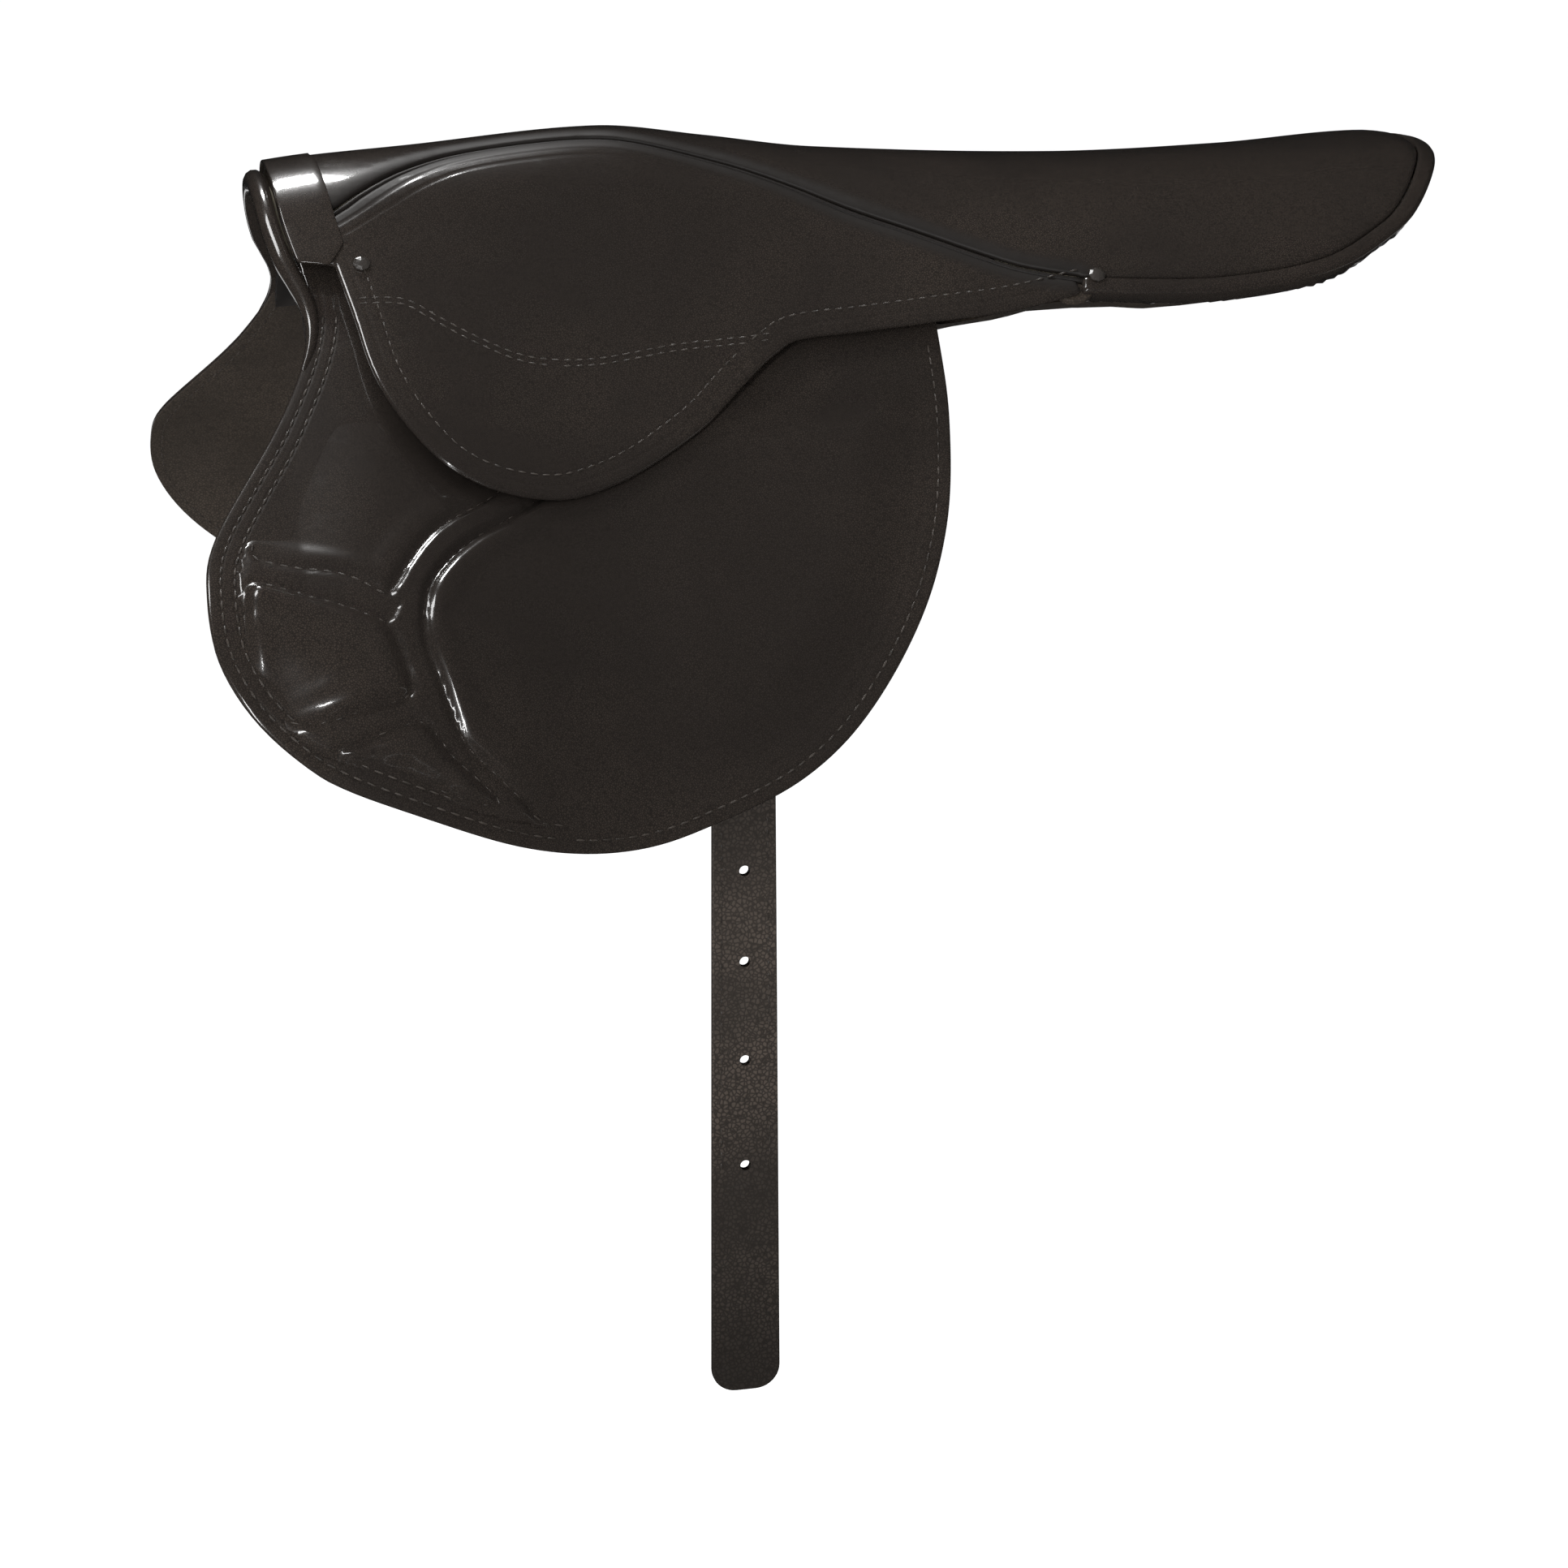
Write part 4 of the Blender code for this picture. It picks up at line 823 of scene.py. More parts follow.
# %% Pattern lines
SEAM_LINE = [(-214, 45), (-197, 38), (-183, 29), (-167, 20), (-149, 14), (-123, 12), (-98, 13),
             (-74, 19), (-52, 26), (-30, 36), (-12, 47), (7, 58), (28, 71), (43, 80), (66, 89.5)]
TAIL_EDGE = [(62, 94), (85, 99.5), (109, 103.5), (135, 103), (157, 98), (176, 88), (192, 75.5),
             (208, 53), (220, 27), (224, 0)]
SKIRT_EDGE = [(-197, 60), (-193, 84), (-190, 106), (-185, 123), (-176, 140), (-166, 151), (-151, 158),
              (-131, 160), (-113, 155), (-95, 146), (-76, 132), (-60, 115), (-47, 103), (-34, 97),
              (8, 96), (37, 96), (61.6, 94)]
FLAP_EDGE = [(-209, 46), (-206.5, 72), (-211, 95), (-224, 126), (-247, 172), (-252, 198), (-249, 225),
             (-233, 249), (-203, 269), (-158, 281), (-112, 280), (-72, 266), (-40, 244), (-12, 207),
             (4, 170), (11, 130), (12, 93), (12, 46)]
SKIRT_REAR = 61.6 * MM
ROLL_FRONT, ROLL_SWEEP, ROLL_SPAN = -218.5 * MM, 6 * MM, 58 * MM
ROLL_RADIUS, FRONT_CLEAR = 3.8 * MM, 0.4 * MM


def front_edge(s):
    """x of the roll's centre line at s."""
    return ROLL_FRONT + ROLL_SWEEP * (abs(s) / ROLL_SPAN)**2


def behind_roll(s):
    """x of the leather's front edge, just behind the roll."""
    return front_edge(s) + ROLL_RADIUS + FRONT_CLEAR


def seam_run(shift, step=5 * MM):
    """The seam between seat and skirt, moved down the leather by shift."""
    front = behind_roll(SEAM_LINE[0][1] * MM)
    count = round((SKIRT_REAR - front) / step)
    xs = [front + (SKIRT_REAR - front) * k / count for k in range(count + 1)]
    return offset_run([(x, through(SEAM_LINE, 1, x / MM) * MM) for x in xs], shift)


def tail_inset(distance):
    """The tail's whole edge, near nail to off nail, moved in by a distance."""
    half = TAIL_EDGE[:-1]
    run = run_through(half + TAIL_EDGE[-1:] + [(x, -s) for x, s in reversed(half)], 5)
    return offset_run(run, -distance)


print("seam from x", round(seam_run(0)[0][0] / MM, 1), "to", round(SKIRT_REAR / MM, 1), "mm")

# %% [markdown]
# ## The fold line
#
# Flaps and skirt lobes turn about one straight line on each side. The flap is one piece of leather
# over that line. The skirt is parted at the line, and its lower part, the lobe, rides on its own
# body.

# %% Fold line
FOLD = Vector((-100, -92.2, -19.9)) * MM
FOLD_TILT = math.radians(4.1)
FOLD_UP = Vector((-math.sin(FOLD_TILT), 0, math.cos(FOLD_TILT)))
FOLD_BLEND, FOLD_SLIT = 7 * MM, 0.02 * MM


def bend_at_fold(pieces):
    """Bake the placement of a near and an off piece into their meshes."""
    for piece, flap, y in zip(pieces, ("near_flap", "off_flap"), (FOLD.y, -FOLD.y)):
        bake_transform(piece)


def keep_part(bm, point, normal):
    """Keep the part of a mesh on one side of a plane, and return the faces that close the cut."""
    cut = slice_mesh(bm, point, normal, 0.01 * MM, clear_inner=True)
    edges = [e for e in cut if isinstance(e, bmesh.types.BMEdge) and e.is_boundary]
    return bmesh.ops.holes_fill(bm, edges=edges, sides=0)["faces"]


def part_at_fold(bm, keep_above):
    """Keep what lies above or below the fold line."""
    normal = FOLD_UP if keep_above else -FOLD_UP
    for face in keep_part(bm, FOLD + normal * FOLD_SLIT, normal):
        face.material_index = 1
    return bm


print("fold line leans by", round(math.degrees(FOLD_TILT), 1), "degrees")


# %% [markdown]
# ## Seat cover
#
# The seat is one skin stretched over foam. Its edges roll down into the seams at both sides, so the
# piece gets rings near its edge, and each ring lies a little lower towards the seam.

# %% Seat cover
WELT_WIDTH = 2.4 * MM
BINDING_WIDTH = 6.5 * MM
SEAM_SIDE = WELT_WIDTH / 2 + 0.3 * MM
SEAM_DIP_WIDTH, EDGE_DIP_WIDTH, UPPER_FACE = 5 * MM, 4.55 * MM, SKIN_LOW + 1.2 * MM
SEAM_WEAR_AND_SHADE_RUN = 4 * MM
beside_seam = edge_finder(seam_run(0), closed=False)


def edge_dips(seam_depth, edge_depth):
    """Height change that rolls the upper face down beside the seam, and less at the other edges."""
    def lift(x, s, edge, h):
        if h < UPPER_FACE:
            return 0.0
        to_seam = max(0.0, 1 - beside_seam(x, abs(s)) / SEAM_DIP_WIDTH)
        to_edge = max(0.0, 1 - edge / EDGE_DIP_WIDTH)
        return -max(seam_depth * to_seam**2, edge_depth * to_edge**2)
    return lift


def seam_wear_and_shade(x, s):
    """How far the lacquer is worn off beside the seam, and how much painted shade darkens it, from 0 to
    1.
    """
    return max(0.0, min(1.0, 2.0 - beside_seam(x, abs(s)) / SEAM_WEAR_AND_SHADE_RUN))


front_s = seam_run(-SEAM_SIDE)[0][1]
nose = [(behind_roll(front_s * k / 10), front_s * k / 10) for k in range(10)]
rim = [p for p in tail_inset(BINDING_WIDTH + FRONT_CLEAR) if p[1] >= 0]
near_half = nose + seam_run(-SEAM_SIDE) + rim
outline = mirrored([p for p in near_half if p[1] > 1e-6]) + near_half
seat = cut_flat(outline, SKIN_LOW, SKIN_TOP, rim=0.7 * MM, rim_low=0.3 * MM, ring=1.0 * MM, step=3 * MM)
seat = bend_flat(seat, outline, edge_dips(0.6 * MM, 0.8 * MM), seam_wear_and_shade)
seat = finish_piece(seat, "seat_skin", [patent, lining_leather], "saddle", ["seat_cover"])
print("seat skin:", len(seat.data.polygons), "faces")

# %% [markdown]
# ## Piping and the rolled front edge
#
# Piping is a thin strip of leather folded round a cord and sewn into a seam. Here it lies sunk
# between the seat and the skirt, so that only a soft dark groove shows. The front edge is rolled
# over a thicker cord, which thins out where the flap leaves the head of the tree. A curve with a
# round bevel is the natural tool: it needs only a line and a thickness.


# %% Round cords
def merged_copy(mesh):
    """A copy of the mesh to work on, its doubled points merged."""
    bm = bmesh.new()
    bm.from_mesh(mesh)
    bmesh.ops.remove_doubles(bm, verts=bm.verts, dist=1e-6)
    return bm


def leather_cord(name, points, radii, material, body, replaced):
    """A closed round tube of leather through the points, made a mesh."""
    curve = bpy.data.curves.new(name, "CURVE")
    curve.dimensions = "3D"
    curve.bevel_depth = max(radii)
    curve.bevel_resolution = 4
    curve.use_fill_caps = True
    line = curve.splines.new("POLY")
    line.points.add(len(points) - 1)
    for place, point, radius in zip(line.points, points, radii):
        place.co = (*point, 1)
        place.radius = radius / max(radii)
    holder = bpy.data.objects.new(name, curve)
    mesh = bpy.data.meshes.new_from_object(holder)
    bpy.data.objects.remove(holder)
    return finish_piece(merged_copy(mesh), name, [material], body, replaced)


PIPING_FRONT, PIPING_SUNK = -206 * MM, 1.3 * MM
PIPING_END = (66 * MM, 89.5 * MM)
for side, flip in (("near", 1), ("off", -1)):
    run = [p for p in seam_run(0) if p[0] > PIPING_FRONT] + [PIPING_END]
    cord = [bend(x, flip * s, SKIN_TOP - PIPING_SUNK - WELT_WIDTH / 2) for x, s in run]
    leather_cord(side + "_piping", cord, [WELT_WIDTH / 2] * len(cord), piping_leather, "saddle",
                 [side + "_welt"])
print("piping:", len(cord), "points")

# %% [markdown]
# ## The rolled front edge
#
# The roll is given by a few stations, each with its place, radius and height over the leather. A
# smooth curve through them makes it thin out and sink evenly at both ends.

# %% Rolled front edge
ROLL_LINE = [(0, -218.5, 3.8, 2.0), (30, -216.9, 3.8, 2.0), (50, -213.6, 3.8, 1.8),
             (60, -210.6, 3.4, 1.2), (70, -207.6, 3.0, 0.4), (80, -206.6, 2.4, -0.2),
             (90, -208.0, 1.9, -0.6), (100, -211.4, 1.2, -1.0)]
stations = [ROLL_LINE[-1][0] * math.sin(math.pi * k / 160) for k in range(-80, 81)]
line, radii = [], []
for s in stations:
    x, radius, height = (through(ROLL_LINE, column, abs(s)) * MM for column in (1, 2, 3))
    line.append(bend(x, s * MM, height))
    radii.append(radius)
roll = leather_cord("rolled_edge", line, radii, patent, "saddle", ["front_roll"])
print("roll:", len(roll.data.polygons), "faces")

# %% [markdown]
# ## Skirts
#
# The skirt covers the stirrup rail. It is sewn to the seat along the piping, and its long lower
# edge is free. It is cut and bent as one piece and then parted at the fold line, so that its
# surface runs on without a step.

# %% Skirts
SKIRT_NOSE_S = 57 * MM
skirt_outline = run_through(SKIRT_EDGE) + seam_run(SEAM_SIDE)[::-1]
skirt_outline += [(behind_roll(SKIRT_NOSE_S), SKIRT_NOSE_S)]
skirt = cut_flat(skirt_outline, SKIN_LOW, SKIN_TOP, rim=1.0 * MM, rim_low=0.8 * MM, ring=0.6 * MM,
                 step=3 * MM)
skirt = bend_flat(skirt, skirt_outline, edge_dips(0.6 * MM, 0.5 * MM), seam_wear_and_shade)
keep_normals(skirt)
lobe = skirt.copy()
for bm, above, name, body in (
        (skirt, True, "skirt", "saddle"), (lobe, False, "skirt_lobe", "SIDE_lobe")):
    made = finish_pair(part_at_fold(bm, above), name + "_leather", [sewn_patent, lining_leather],
                       body, ["SIDE_" + name])
    print(name, "has", len(made[0].data.polygons), "faces")

# %% [markdown]
# ## Flaps
#
# Each flap is one long piece of leather with a lining sewn to its inner side. A slot is cut out of
# it over the stirrup rail, under the skirt. Its upper end is fixed to the tree.

# %% Flaps
FLAP_LOW = -2.5 * MM
SLOT = (-167 * MM, -88 * MM, 71 * MM, 94.5 * MM)


def cut_slot(bm):
    """Take the slot over the stirrup rail out of the flat flap, and wall its sides."""
    x0, x1, s0, s1 = SLOT
    for point, normal in (((x0, 0, 0), (1, 0, 0)), ((x1, 0, 0), (1, 0, 0)),
                          ((0, -s0, 0), (0, 1, 0)), ((0, -s1, 0), (0, 1, 0))):
        slice_mesh(bm, point, normal, 0.01 * MM)
    gone = [f for f in bm.faces if x0 < f.calc_center_median().x < x1
            and s0 < -f.calc_center_median().y < s1]
    bmesh.ops.delete(bm, geom=gone, context="FACES")
    bmesh.ops.bridge_loops(bm, edges=[e for e in bm.edges if e.is_boundary])
    return bm


flap_outline = run_through(FLAP_EDGE)
flap = cut_flat(flap_outline, FLAP_LOW, 0, rim=1.1 * MM, rim_low=0.8 * MM, ring=1.2 * MM, step=3 * MM)
flap = bend_flat(cut_slot(flap), flap_outline)
made = finish_pair(flap, "flap_leather", [sewn_patent, lining_leather], None,
                   ["SIDE_flap", "SIDE_flap_top"])
bend_at_fold(made)
print("flap:", len(made[0].data.polygons), "faces")

# %% [markdown]
# ## Pads on the flaps
#
# The rider's knee rests against four low pads. One skin of leather lies over them and is drawn down
# and sewn in channels between them. So each pad has a steep round shoulder along a channel and runs
# out softly towards the hem, and the leather left between two sewn rows stands up as a low rib. The
# skin is one fine grid, and each of its points is lifted by what it lies on.

# %% Outlines of the pads
PAD_EDGES = {
    "front_pad": [(-208, 120), (-224, 149), (-234, 171), (-235.5, 181), (-229, 184.5), (-214, 188),
                  (-204, 192.5), (-195.5, 198.5), (-191.5, 196), (-185.5, 186), (-178, 175.5),
                  (-169, 167), (-149, 151), (-160, 140), (-171, 126), (-180, 118)],
    "knee_block": [(-238, 193), (-241, 204), (-241, 218), (-237.5, 229), (-231, 240.5),
                   (-221, 242), (-207, 239.5), (-191, 234.5), (-191.5, 224), (-195.5, 211),
                   (-203, 206), (-215, 200), (-227, 195)],
    "lower_pad": [(-216, 252.5), (-208, 249.5), (-199, 246.5), (-189, 243.5), (-184, 246),
                  (-178, 254), (-170.5, 260.5), (-164, 267), (-170, 268.5), (-182, 265.5), (-202, 259)],
    "rear_pad": [(-183.5, 208), (-180.5, 196), (-173, 184.5), (-163, 174.5), (-153, 167.5), (-135, 155),
                 (-120, 151), (-102, 143), (-82, 129), (-64, 113), (-30, 109), (3, 111), (2, 140),
                 (-4, 170), (-19, 203), (-44, 236), (-74, 257), (-112, 271), (-146, 273),
                 (-156, 265.5), (-165, 257.5), (-173, 250), (-177.5, 240), (-181, 228), (-183.5, 218)],
}
QUILT_EDGE = [(-206, 118), (-214, 127), (-226, 148), (-235.5, 167), (-239.6, 180), (-241.8, 192),
              (-242.8, 206), (-242.4, 218), (-239.4, 229.5), (-233, 241.5), (-224, 250), (-211, 257),
              (-196, 264), (-178, 270), (-160, 273.2), (-140, 274.5), (-112, 273), (-92, 266.5),
              (-73, 258.5), (-57, 249), (-42, 237), (-27, 219), (-15, 201), (-7, 185), (-1, 168),
              (3.5, 150), (4.5, 130), (4.5, 110), (-10, 107.5), (-30, 106.5), (-48, 106), (-66, 108),
              (-82, 120), (-98, 132), (-115, 141), (-131, 145), (-142, 143), (-152, 136),
              (-160, 126), (-168, 117), (-182, 116.5)]


def signed_edge(outline):
    """Samples of a closed outline, and a function giving (distance inside it, nearest sample)."""
    turn = sum(a[0] * b[1] - b[0] * a[1] for a, b in zip(outline, outline[1:] + outline[:1]))
    out = [Vector((b[1] - a[1], a[0] - b[0])).normalized() * math.copysign(1, turn)
           for a, b in zip(outline[-1:] + outline[:-1], outline[1:] + outline[:1])]
    tree = nearest(outline)

    def find(x, s):
        at, k, far = tree.find((x, s, 0))
        return -math.copysign(far, (x - at[0]) * out[k].x + (s - at[1]) * out[k].y), k
    return find


pad_runs = {name: closed_run(points, 1.0) for name, points in PAD_EDGES.items()}
pad_finders = {name: signed_edge(run) for name, run in pad_runs.items()}
print("pads:", {name: len(run) for name, run in pad_runs.items()}, "samples")

# %% [markdown]
# ## Sewn or free
#
# Where two pads lie close together there is a channel between them, and their edges are sewn down.
# Elsewhere a pad is free to run out. The skirt covers the upper ends, so what lies well under it
# counts as neither.

# %% Where a pad is sewn down, and where it runs out
CHANNEL, CHANNEL_FADE = 17 * MM, 3 * MM
KNEE_FRONT, FRONT_PAD_REAR, COVERED, SKIRT_THIN_X = -236 * MM, -187 * MM, 9 * MM, -50 * MM


def sewn_share(name, x, s):
    """1 where the outline of a pad lies along a channel, 0 where it runs out freely."""
    gap = min(-find(x, s)[0] for other, find in pad_finders.items() if other != name)
    if name == "knee_block" and x < KNEE_FRONT:
        return 1.0
    return max(0.0, min(1.0, (CHANNEL + CHANNEL_FADE - gap) / CHANNEL_FADE))


def points_finder(points):
    """A function giving the distance to the nearest of some pattern points, large for none."""
    tree = nearest(points or [(9.0, 9.0)])
    return lambda x, s: tree.find((x, s, 0))[2]


under_skirt = edge_finder(run_through(SKIRT_EDGE), closed=False)
pad_sides = {}
for name, run in pad_runs.items():
    sewn = [p for p in run if sewn_share(name, *p) > 0.5]
    free = [p for p in run if sewn_share(name, *p) <= 0.5
            and (under_skirt(*p) > COVERED or p[0] > SKIRT_THIN_X
                 or (name == "front_pad" and p[0] < FRONT_PAD_REAR))]
    pad_sides[name] = points_finder(sewn), points_finder(free)
    print(name, "sewn along", len(sewn), "mm, free along", len(free), "mm")

# %% [markdown]
# ## The height of the skin
#
# One rule gives the skin's height anywhere on the flap. Over a pad it rises in a quarter circle from
# the sewn edge and eases away towards the free edge, with a slow unevenness from the stuffing.
# Between two pads it makes the rib, which is higher in a wide channel. At its own edge it lies flush.

# %% Height of the quilted skin
PAD_RISE = {"front_pad": 2.1 * MM, "knee_block": 3.9 * MM, "lower_pad": 3.2 * MM, "rear_pad": 3.9 * MM}
PAD_RUN_OUT = {"front_pad": 38 * MM, "knee_block": 26 * MM, "lower_pad": 11 * MM, "rear_pad": 28 * MM}
PAD_SHOULDER, RIB_SHOULDER, PAD_WAVE = 5.0 * MM, 2.6 * MM, 0.3 * MM
FLUSH, SEWN_LIFT, SKIN_EDGE = -0.35 * MM, 0.6 * MM, 4 * MM
RIB_LOW, RIB_MORE, LOW_RIB_SHARE = 0.7 * MM, 1.6 * MM, 0.35


def ease(t):
    """A smooth step from 0 to 1."""
    t = max(0.0, min(1.0, t))
    return t * t * (3 - 2 * t)


def quilt_height(x, s, edge):
    """Height of the skin over the flap's face at a pattern point."""
    inside = sorted(((find(x, s)[0], name) for name, find in pad_finders.items()), reverse=True)
    (first, name), (second, next_name) = inside[:2]
    width = max(0.0, -first) + max(0.0, -second)
    base = FLUSH + SEWN_LIFT * ease((CHANNEL + 5 * MM - width) / (6 * MM))
    if first > 0:
        to_sewn, to_free = (find(x, s) for find in pad_sides[name])
        shoulder = math.sin(min(1, to_sewn / PAD_SHOULDER) * math.pi / 2)
        run_out = ease(to_free / PAD_RUN_OUT[name])
        wave = PAD_WAVE * noise.noise(Vector((x * 16, s * 30, 0))) * min(1, first / (14 * MM))
        rise = PAD_RISE[name] * shoulder * run_out + wave
    else:
        shoulder = max(1e-6, min(RIB_SHOULDER, width / 2))
        rib = RIB_LOW + RIB_MORE * ease((width / MM - 6) / 4)
        rib *= math.sin(min(1, -first / shoulder) * math.pi / 2)
        if {name, next_name} == {"front_pad", "knee_block"}:
            rib *= LOW_RIB_SHARE
        rise = rib * ease((CHANNEL + 4 * MM - width) / (5 * MM))
    return base + rise * ease(edge / SKIN_EDGE)


# %% Quilted skin over the pads
QUILT_STEP, QUILT_THICK = (1.2 * MM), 0.6 * MM
quilt_outline = closed_run(QUILT_EDGE, 2.0)
quilt_edge = signed_edge(quilt_outline)
low, high = ([pick(p[k] for p in quilt_outline) for k in (0, 1)] for pick in (min, max))
counts = [math.ceil((high[k] - low[k]) / QUILT_STEP) for k in (0, 1)]
place = Matrix.Translation(((low[0] + high[0]) / 2, -(low[1] + high[1]) / 2, 0))
place @= Matrix.Diagonal((*[(high[k] - low[k]) / 2 for k in (0, 1)], 1, 1))
quilt = bmesh.new()
bmesh.ops.create_grid(quilt, x_segments=counts[0], y_segments=counts[1], size=1.0, matrix=place)
centres = [(f, f.calc_center_median()) for f in quilt.faces]
outside = [f for f, centre in centres if quilt_edge(centre.x, -centre.y)[0] < 0]
bmesh.ops.delete(quilt, geom=outside, context="FACES")
bmesh.ops.delete(quilt, geom=[v for v in quilt.verts if not v.link_faces], context="VERTS")
note_pattern(quilt)
for vert in quilt.verts:
    x, s = vert.co.x, -vert.co.y
    vert.co = bend(x, s, quilt_height(x, s, quilt_edge(x, s)[0]))
bmesh.ops.recalc_face_normals(quilt, faces=quilt.faces)
bmesh.ops.solidify(quilt, geom=quilt.faces[:], thickness=QUILT_THICK)
for piece in finish_pair(quilt, "quilted_leather", [patent], "SIDE_flap",
                         ["SIDE_" + name for name in PAD_EDGES]):
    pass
print("quilted skin:", len(piece.data.polygons), "faces")

# %% [markdown]
# ## Stitches
#
# Waxed thread shows as a row of short raised dashes, a little sunk at their ends. Each dash is one
# small stretched ball of few faces, set along a run that follows an edge or a channel.

# %% Rows of stitches
STITCH_PITCH, STITCH_LONG, STITCH_THICK = 4.7 * MM, 3.3 * MM, 0.85 * MM


def stitch_spots(run, pitch):
    """Evenly spaced places (x, s, direction) along a run."""
    spots, left = [], pitch / 2
    for (x0, s0), (x1, s1) in zip(run, run[1:]):
        length = math.dist((x0, s0), (x1, s1))
        while left < length:
            t = left / length
            spots.append((x0 + (x1 - x0) * t, s0 + (s1 - s0) * t, math.atan2(s1 - s0, x1 - x0)))
            left += pitch
        left -= length
    return spots


def set_stitch(bm, a, b, out, thick):
    """One stitch from point a to point b, with its back to the leather."""
    along = (b - a).normalized()
    axes = Matrix((along, out.cross(along), out)).transposed().to_4x4()
    axes.translation = (a + b) / 2
    size = Matrix.Diagonal(((b - a).length / 2, thick / 2, thick / 2, 1))
    bmesh.ops.create_uvsphere(bm, u_segments=6, v_segments=5, radius=1.0,
                              matrix=axes @ size @ Matrix.Rotation(math.pi / 2, 4, "Y"))


def sew(bm, run, height, pitch=STITCH_PITCH, long=STITCH_LONG, thick=STITCH_THICK):
    """Set stitches along a run of pattern points at a height, on the near side."""
    for x, s, turn in stitch_spots(run, pitch):
        reach = (math.cos(turn) * long / 2, math.sin(turn) * long / 2)
        a = bend(x - reach[0], s - reach[1], height)
        b = bend(x + reach[0], s + reach[1], height)
        set_stitch(bm, a, b, (bend(x, s, height + MM) - bend(x, s, height)).normalized(), thick)


def sew_where(bm, run, wanted, height, **sizes):
    """Sew the stretches of a run whose points are wanted."""
    for sewn, stretch in itertools.groupby(run, lambda point: wanted(*point)):
        if sewn:
            sew(bm, list(stretch), height, **sizes)


# %% Rows round the flaps, outside and inside
turn = max(range(len(flap_outline)), key=lambda k: flap_outline[k][1])
front_row = [p for p in flap_outline[:turn] if p[1] > 66 * MM]
rear_row = [p for p in flap_outline[turn:] if p[1] > 100 * MM]
bm = bmesh.new()
for inset in HEM_ROWS:
    sew(bm, offset_run(front_row, -inset)[2:], 0.08 * MM)
sew(bm, offset_run(rear_row, -HEM_ROWS[0]), 0.0)
for row in (front_row, rear_row):
    sew(bm, offset_run(row, -HEM_ROWS[0])[2:], FLAP_LOW + 0.1 * MM)
made = finish_pair(bm, "flap_stitches", [thread], None)
bend_at_fold(made)
print("flap stitches:", len(made[0].data.polygons) // 30)

# %% [markdown]
# ## Finer rows
#
# The channels and the skirts are sewn with a finer thread. A run is sewn only where it belongs: in a
# channel where its pad is sewn down, and on the skirt on one side of the fold line at a time, so
# that each stitch moves with the leather it holds.

# %% Rows in the channels
FINE = {"long": 3.0 * MM, "thick": 0.75 * MM}
bm = bmesh.new()
for name, run in pad_runs.items():
    sew_where(bm, run, lambda x, s: sewn_share(name, x, s) > 0.5 and quilt_edge(x, s)[0] > 2 * MM,
              FLUSH + SEWN_LIFT + 0.25 * MM, **FINE)
made = finish_pair(bm, "channel_stitches", [thread], "SIDE_flap")
print("channel stitches:", len(made[0].data.polygons) // 30)

# %% Rows on the skirts
skirt_row = offset_run(run_through(SKIRT_EDGE), -SKIRT_ROW)
TWIN_ROW = 2.4 * MM
UPPER_ROW = [(-191, 77), (-175, 78), (-164, 86), (-151, 95), (-135, 103), (-115, 105), (-95, 103),
             (-78, 100), (-49, 96)]


def above_fold(x, s):
    """Whether a pattern point on the skirt lies above the fold line."""
    return (bend(x, s, SKIN_TOP) - FOLD).dot(FOLD_UP) > 0


upper_row = run_through(UPPER_ROW)
for label, keep, body in (("skirt_stitches", True, "saddle"), ("lobe_stitches", False, "SIDE_lobe")):
    bm = bmesh.new()
    for run in (skirt_row, upper_row, offset_run(upper_row, TWIN_ROW)):
        sew_where(bm, run, lambda x, s: above_fold(x, s) == keep, SKIN_TOP - 0.1 * MM, pitch=4.2 * MM,
                  **FINE)
    finish_pair(bm, label, [thread], body)
    print(label, "done")

# %% [markdown]
# ## Pommel band
#
# A separate band of leather is wrapped over the front of the seat, with slanted ends. It is a flat
# strip like the other pieces, so it is cut from its outline and bent.

# %% Pommel band
BAND_REAR = [(-203, 60), (-199, 61), (-193, 52), (-196, 30), (-199, 0)]
BAND_LAP, BAND_HALF = 1.2 * MM, 58 * MM
front = [(behind_roll(BAND_HALF * k / 20) - BAND_LAP, BAND_HALF * k / 20) for k in range(21)]
band_half = front + run_through(BAND_REAR[:3], 3) + run_through(BAND_REAR[2:], 3)[1:]
outline = band_half + mirrored(band_half)[1:-1]
band = cut_flat(outline, SKIN_TOP - 0.3 * MM, SKIN_TOP + 0.7 * MM, rim=0.4 * MM, rim_low=0,
                step=4 * MM)
band = finish_piece(bend_flat(band, outline), "pommel_band_leather", [patent, lining_leather],
                    "saddle", ["pommel_band"])
print("pommel band:", len(band.data.polygons), "faces")

# %% [markdown]
# ## Tail binding
#
# A folded strip binds the tail's edge. It is thick at the top and tucks in towards its lower edge.
# So the flat strip is cut to its full height first, and its lower points are drawn inwards before
# it is bent.

# %% Tail binding
BINDING_LOW, TUCK_TOP, TUCK_SHARE = -4.6 * MM, 4.6 * MM, 0.75
outer, inner = tail_inset(0), tail_inset(BINDING_WIDTH)
outline = outer + inner[::-1]
binding = cut_flat(outline, BINDING_LOW, SKIN_TOP + 0.2 * MM, rim=1.6 * MM, rim_low=1.2 * MM,
                   step=5 * MM)
bound_edge = nearest(outer)
for vert in binding.verts:
    near = bound_edge.find_n((vert.co.x, -vert.co.y, 0), 8)
    inward = [sum(inner[k][j] - outer[k][j] for at, k, far in near) / len(near) for j in (0, 1)]
    tuck = max(0.0, TUCK_TOP - vert.co.z) / (TUCK_TOP - BINDING_LOW)
    tuck = (tuck * max(0.0, 1 - near[0][2] / BINDING_WIDTH))**0.6 * TUCK_SHARE
    vert.co.x += inward[0] * tuck
    vert.co.y -= inward[1] * tuck
